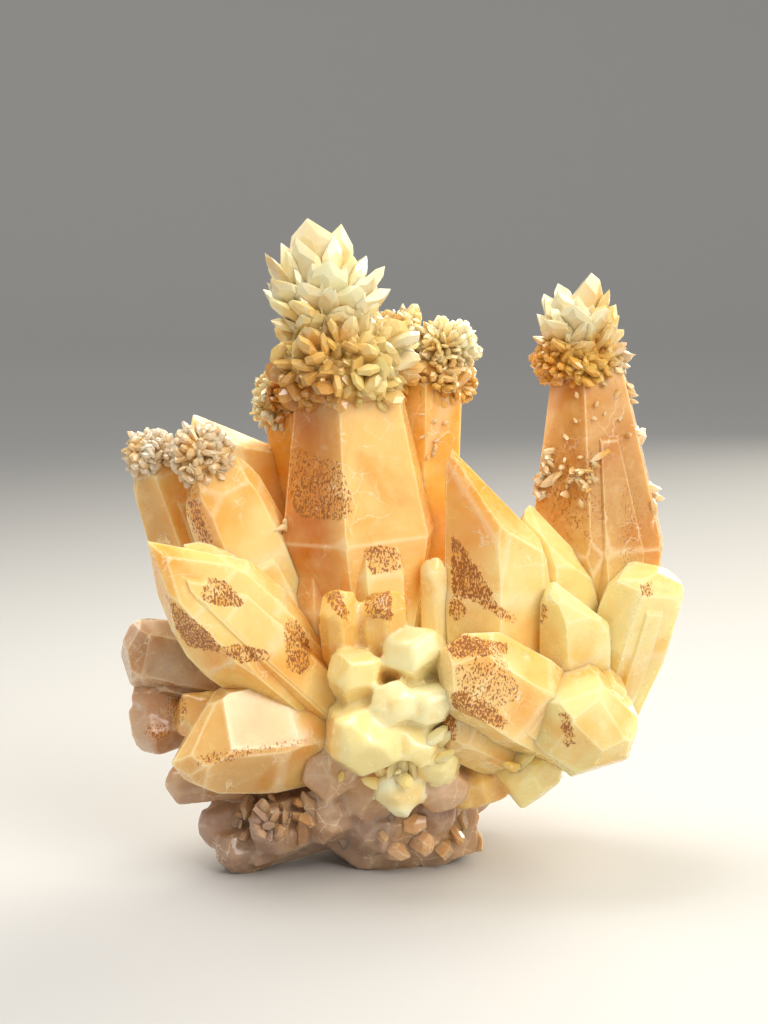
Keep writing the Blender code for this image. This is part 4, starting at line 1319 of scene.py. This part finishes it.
smallCrystals = [
    dict(
        root=(-10, -6, 40), tip=(-11.4, -18.5, 61.0), width=8.0, depth=7, roll=10, point=38, tone="honey",
        rust=[
            dict(
                outline=[(-9.0, 52.0), (-7.8, 48.8), (-12.0, 52.4),
                         (-14.6, 56.0), (-11.0, 58.6), (-8.6, 58.6)],
                strength=1.0, fade=0.4,
            ),
        ],
    ),
    dict(
        root=(-1.5, -6, 40), tip=(-2.4, -18, 60.6), width=9.2, depth=7.5, point=42, tone="honey",
        rust=[
            dict(
                outline=[(-0.6, 54.0), (-1.0, 57.8), (-6.2, 54.8), (-5.8, 51.2), (-0.6, 50.2)],
                strength=0.95, fade=0.5,
            ),
        ],
    ),
    dict(root=(-6, -5, 35), tip=(-8.6, -21, 47.0), width=10.6, depth=9, roll=25, point=52, tone="straw"),
    dict(root=(6, -3, 40), tip=(3.0, -21, 50.5), width=12, depth=9, roll=5, point=60, tone="milk"),
    dict(
        root=(3, -5, 34), tip=(-0.8, -25, 40.0), width=9.2, depth=8.4, roll=12, point=62, facets=6,
        tone="milk",
    ),
    dict(
        root=(8, -4, 36), tip=(6.2, -25, 38.6), width=9.0, depth=8.2, roll=20, point=64, facets=6,
        tone="milk",
    ),
    dict(root=(9, -2, 42), tip=(7.6, -10, 66.0), width=6.4, depth=5, point=34, tone="milk"),
    dict(
        root=(-8, -3, 31), tip=(-5.2, -28, 31.0), width=13.4, depth=12.8, roll=8, point=70, facets=6,
        shoulder=2.0, tone="cream", shaves=(18, 1.1), companions=0,
    ),
    dict(root=(5, -3, 28), tip=(3.2, -23, 30.0), width=9.4, depth=8, roll=30, point=60, tone="cream"),
    dict(
        root=(8, -3, 27), tip=(8.6, -20, 24.6), width=8.4, depth=8, roll=10, point=62, facets=6,
        tone="cream",
    ),
    dict(root=(3, 0, 22), tip=(0.2, -19, 18.6), width=10.4, depth=9, point=64, facets=6, tone="white"),
    dict(
        root=(8, 0, 22), tip=(9.6, -16, 18.0), width=10.6, depth=9.4, roll=15, point=68, facets=6,
        tone="pink",
    ),
    dict(root=(15, 0, 24), tip=(18.6, -11, 15.5), width=9.8, depth=8.6, roll=6, point=58, tone="tan"),
    dict(root=(21, -2, 27), tip=(29.4, -16, 18.8), width=11.4, depth=10, roll=18, point=56, tone="cream"),
    dict(root=(-14, -2, 24), tip=(-12.0, -17, 22.0), width=12, depth=9.6, roll=11, point=62, tone="pink"),
    dict(
        root=(-37, 9, 31), tip=(-53.4, 0, 26.5), width=11.0, depth=10, roll=4, point=60, tone="pink",
        rust=[
            dict(at=(-48, 27), size=(3, 2), strength=0.6),
        ],
    ),
    dict(root=(-36, 8, 34), tip=(-53.6, 1, 34.0), width=8.6, depth=8, roll=14, point=56, tone="pink"),
    dict(
        root=(-32, 4, 30), tip=(-43.0, -6, 32.0), width=9.6, depth=9, point=64, tone="tan",
        rust=[
            dict(at=(-44, 32), size=(2.4, 3.4), strength=0.7),
        ],
    ),
    dict(
        root=(-16, 2, 20), tip=(-47.0, -8, 17.8), width=8.6, depth=8, roll=6, point=60, facets=6,
        tone="pink",
    ),
    dict(
        root=(-10, 5, 14), tip=(-40.6, -4, 7.4), width=8.8, depth=8, roll=16, point=60, facets=6,
        tone="mauve",
    ),
    dict(
        root=(-6, 5, 10), tip=(-36.6, -8, 2.8), width=9.6, depth=9, roll=2, point=62, facets=6,
        tone="mauve",
    ),
    dict(root=(-6, 2, 15), tip=(-29.0, -13, 9.0), width=11.0, depth=9.6, roll=9, point=54, tone="mauve"),
    dict(root=(-3, 4, 13), tip=(-18.0, -13, 12.4), width=11.0, depth=10, roll=20, point=60, tone="mauve"),
    dict(
        root=(0, 5, 12), tip=(-6.6, -11, 7.6), width=10.4, depth=9, roll=4, point=62, facets=6,
        tone="mauve",
    ),
    dict(root=(4, 6, 13), tip=(9.4, -8, 10.0), width=10.0, depth=9, roll=14, point=60, tone="mauve"),
    dict(root=(-30, 10, 28), tip=(-46.0, 22, 30.0), width=13, depth=12, roll=9, point=54, tone="tan"),
    dict(root=(-12, 14, 22), tip=(-19.0, 34, 24.0), width=14, depth=13, roll=3, point=56, tone="straw"),
    dict(root=(24, 10, 26), tip=(33.0, 28, 23.0), width=13, depth=12, roll=12, point=56, tone="straw"),
    dict(root=(36, 8, 33), tip=(51.0, 19, 36.0), width=13, depth=11, point=54, tone="lemon"),
    dict(root=(6, 12, 14), tip=(20.0, 24, 8.0), width=11, depth=10, roll=5, point=58, tone="pink"),
    dict(root=(-4, 12, 12), tip=(-13.0, 26, 7.6), width=11, depth=10, roll=25, point=58, tone="pink"),
]
habitKeys = ("root", "tip", "width", "depth", "roll", "point", "facets", "shoulder")
footLumps = [
    dict(centre=(-2, 5, 31), radii=(36, 16, 12), seed=3, crust=150),
    dict(centre=(24, 3, 33), radii=(19, 13, 10), seed=5, crust=80),
    dict(centre=(-3, 6, 19), radii=(18, 13, 10), seed=8, crust=90),
    dict(centre=(-1, 4, 8), radii=(14, 12.5, 11.5), seed=11, crust=80),
]
restFace = (Vector((0, 0, 0)), Vector((0, 0, -1)))
skinLook = dict(voxel=0.62, rounds=3, sole=0.35, shadeAngle=35)
crustLook = dict(
    kinds=("stub", "tablet", "chisel", "dagger"), length=(5.0, 10.0), width=(2.4, 5.4), wander=0.5,
    sunk=0.42, flat=0.75,
)


def rockTones(place):
    low = blendTones(tones["mauve"], tones["pink"], smooth(place.x, -20, 6))
    colour = blendTones(low, tones["tan"], smooth(place.z, 12, 32))
    if place.y > 10 or place.x > 20:
        colour = blendTones(tones["pink"], tones["straw"], smooth(place.z, 12, 32))
    # painted shade: darker towards the bottom, where the stone meets the floor
    colour = blendTones(colour, tones["umber"], 0.4 * (1 - smooth(place.z, 1, 8)))
    return colour, blendTones(colour, tones["sand"], 0.12)


def companionHabit(habit, chance):
    # a thinner crystal from the same root that leans away a little
    root, tip = Vector(habit["root"]), Vector(habit["tip"])
    axis = (tip - root).normalized()
    side, front = square(axis)
    turn = chance.uniform(0, 2 * math.pi)
    outward = side * math.cos(turn) + front * math.sin(turn)
    share = chance.uniform(*companionLook["width"])
    length = (tip - root).length * chance.uniform(*companionLook["reach"])
    tip = root + axis * length + outward * habit["width"] * chance.uniform(*companionLook["lean"])
    return dict(
        root=tuple(root), tip=tuple(tip), width=habit["width"] * share, depth=habit["depth"] * share,
        roll=chance.uniform(*companionLook["roll"]), taper=chance.uniform(*companionLook["taper"]),
        point=chance.uniform(*companionLook["point"]), facets=chance.choice(companionLook["facets"]),
    )


def skinOver(blocks):
    # joins the blocks under one closed skin, its edges worn round and its sole flat
    skin = joinPieces("skin", blocks)
    applyModifier(skin, "REMESH", mode="VOXEL", voxel_size=skinLook["voxel"] * mm)
    applyModifier(skin, "SMOOTH", factor=0.5, iterations=skinLook["rounds"])
    for vert in skin.data.vertices:
        vert.co.z = 0.0 if vert.co.z < skinLook["sole"] * mm else vert.co.z
    return skin


def baseTone(place, owner):
    if owner >= len(smallCrystals):
        return rockTones(place)[0]
    # painted light: the painted glow lightens the middle of the front towards milk
    colour = blendTones(tones[smallCrystals[owner]["tone"]], tones["milk"], 0.35 * paintedGlow(place))
    # painted shade: darkened towards mauve on the lower left
    colour = blendTones(colour, tones["mauve"], 0.35 * paintedShade(place))
    # painted shade: darker towards the bottom, where the stone meets the floor
    return blendTones(colour, tones["umber"], 0.35 * (1 - smooth(place.z, 1, 8)))


def makeBase():
    blocks, bodies, owners = [], [], []
    for k, crystal in enumerate(smallCrystals):
        chance = random.Random(k + 40)
        habit = {key: crystal[key] for key in habitKeys if key in crystal}
        habits = [habit] + [companionHabit(habit, chance) for n in range(crystal.get("companions", 2))]
        for habit in habits:
            shaves, depth = crystal.get("shaves", (6, 0.9))
            block, faces = cleaveCrystal(f"small{len(blocks)}", habit, shaves, depth, [restFace], 64)
            blocks.append(block)
            bodies.append(faces)
            owners.append(k)
    for k, size in enumerate(footLumps):
        faces = lumpFaces(size["centre"], size["radii"], size["seed"], 14) + [restFace]
        block = cleaveBlock(f"footLump{k}", size["centre"], max(size["radii"]) * 1.4, faces)
        bpy.ops.object.mode_set(mode="OBJECT")
        refine(block, 3)
        wave(block, 0.5, 3.0)
        blocks.append(block)
        bodies.append(faces)
        owners.append(len(smallCrystals))
    skin = skinOver(blocks)
    nearest = writeRim(skin.data, bodies)
    spots = zip(meshArrays(skin.data), nearest)
    paintTint(skin.data, [baseTone(Vector(place), owners[body]) for place, body in spots])
    writeRust(skin.data, [patch for crystal in smallCrystals for patch in crystal.get("rust", [])])
    shadeFacets(skin, skinLook["shadeAngle"])
    parts = [skin]
    chance = random.Random(3)
    for size in footLumps:
        for normal in spread(size["crust"], chance):
            surface = onLump(size, normal)
            way = leanFrom(normal, chance, crustLook["wander"])
            length, width = chance.uniform(*crustLook["length"]), chance.uniform(*crustLook["width"])
            if (surface + way * length * 0.5).z < width * 0.6:
                continue
            parts.append(scatterLeaf(crustLook, surface, way, length, width, rockTones(surface), chance))
    piece = joinPieces("baseCluster", parts)
    finishPiece(piece, "root", slotOf["root"], "base_cluster")
    return piece


base = makeBase()
print("base done", len(base.data.polygons))


# Crystallites that sit on the columns, found by a ray from the side they are seen from

sprinkles = [
    dict(on="base_cluster", name="frontJumble", finish="root", clusters=[
        dict(at=(9, 26), size=(4, 5), count=7, width=(2.0, 3.8)),
        dict(at=(-1, 20), size=(7, 3), count=8, width=(1.6, 3.2)),
        dict(at=(-24, 11), size=(12, 5), count=24, width=(1.6, 3.8)),
        dict(at=(20, 22), size=(9, 5), count=6, width=(1.6, 3.0)),
        dict(at=(0, 22), size=(26, 14), count=60, width=(1.4, 3.4), behind=True),
    ]),
    dict(on="right_column", name="rightColumnPoints", clusters=[
        dict(at=(30, 79.5), size=(1.6, 4.5), count=26, width=(1.0, 2.2)),
        dict(at=(37, 79), size=(4.5, 5), count=24, width=(0.9, 1.9)),
        dict(at=(50, 90), size=(1.6, 8), count=14, width=(1.0, 2.0)),
        dict(at=(53, 77), size=(1.2, 10), count=14, width=(1.0, 1.8)),
        dict(at=(48, 97), size=(2.5, 4), count=16, width=(0.9, 1.8)),
        dict(at=(40, 92), size=(8, 10), count=12, width=(0.7, 1.3)),
        dict(at=(40, 84), size=(9, 14), count=40, width=(0.8, 1.8), behind=True),
    ]),
    dict(on="middle_column", name="middleColumnPoints", clusters=[
        dict(at=(-23.2, 80), size=(1.2, 5), count=12, width=(1.0, 1.9)),
        dict(at=(-22.6, 70), size=(1.2, 9), count=20, width=(1.2, 2.2)),
        dict(at=(-6, 74), size=(14, 18), count=34, width=(0.9, 1.8), behind=True),
    ]),
    dict(on="middle_right_column", name="middleRightColumnPoints", clusters=[
        dict(at=(8, 84), size=(5, 8), count=10, width=(0.7, 1.3)),
    ]),
]
pointLook = dict(
    kinds=("dagger", "petal", "chisel", "dagger"), slender=(1.9, 2.9), wander=0.6, sunk=0.4, flat=0.6,
    shades=(tones["tan"], (0.90, 0.80, 0.62)),
)


def frontTones(place):
    if place.y > 5 or place.x < -12 or place.z < 12:
        return rockTones(place)
    # painted light: the painted glow lightens the front crystallites towards milk
    colour = blendTones(tones["straw"], tones["milk"], paintedGlow(place))
    return colour, blendTones(colour, tones["cream"], 0.4)


def makeSprinkle(sprinkle):
    target = base if sprinkle["on"] == "base_cluster" else large[sprinkle["on"]]
    finish = sprinkle.get("finish", "druse")
    chance = random.Random(sprinkle["name"])
    rise = math.radians(cameraSettings["elevation"])
    parts = []
    for cluster in sprinkle["clusters"]:
        towards = Vector((0, math.cos(rise), -math.sin(rise)))
        if cluster.get("behind"):
            towards = Vector((0, -1, 0))
        for k in range(cluster["count"]):
            x = cluster["at"][0] + chance.gauss(0, 0.5) * cluster["size"][0]
            v = cluster["at"][1] + chance.gauss(0, 0.5) * cluster["size"][1]
            height = v if cluster.get("behind") else v / math.cos(rise)
            start = Vector((x, 0, height)) - towards * farAway
            hit, place, normal, index = target.ray_cast(start * mm, towards)
            if not hit:
                continue
            place = place / mm
            way = leanFrom(normal, chance, pointLook["wander"])
            width = chance.uniform(*cluster["width"])
            length = width * chance.uniform(*pointLook["slender"])
            pair = frontTones(place) if finish == "root" else pointLook["shades"]
            parts.append(scatterLeaf(pointLook, place, way, length, width, pair, chance))
    piece = joinPieces(sprinkle["name"], parts)
    finishPiece(piece, finish, slotOf[finish])


for sprinkle in sprinkles:
    makeSprinkle(sprinkle)
print("sprinkles done")

boxes = {"cad": cadBounds, "visual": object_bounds()}
{name: [list(corner) for corner in box] for name, box in boxes.items()}
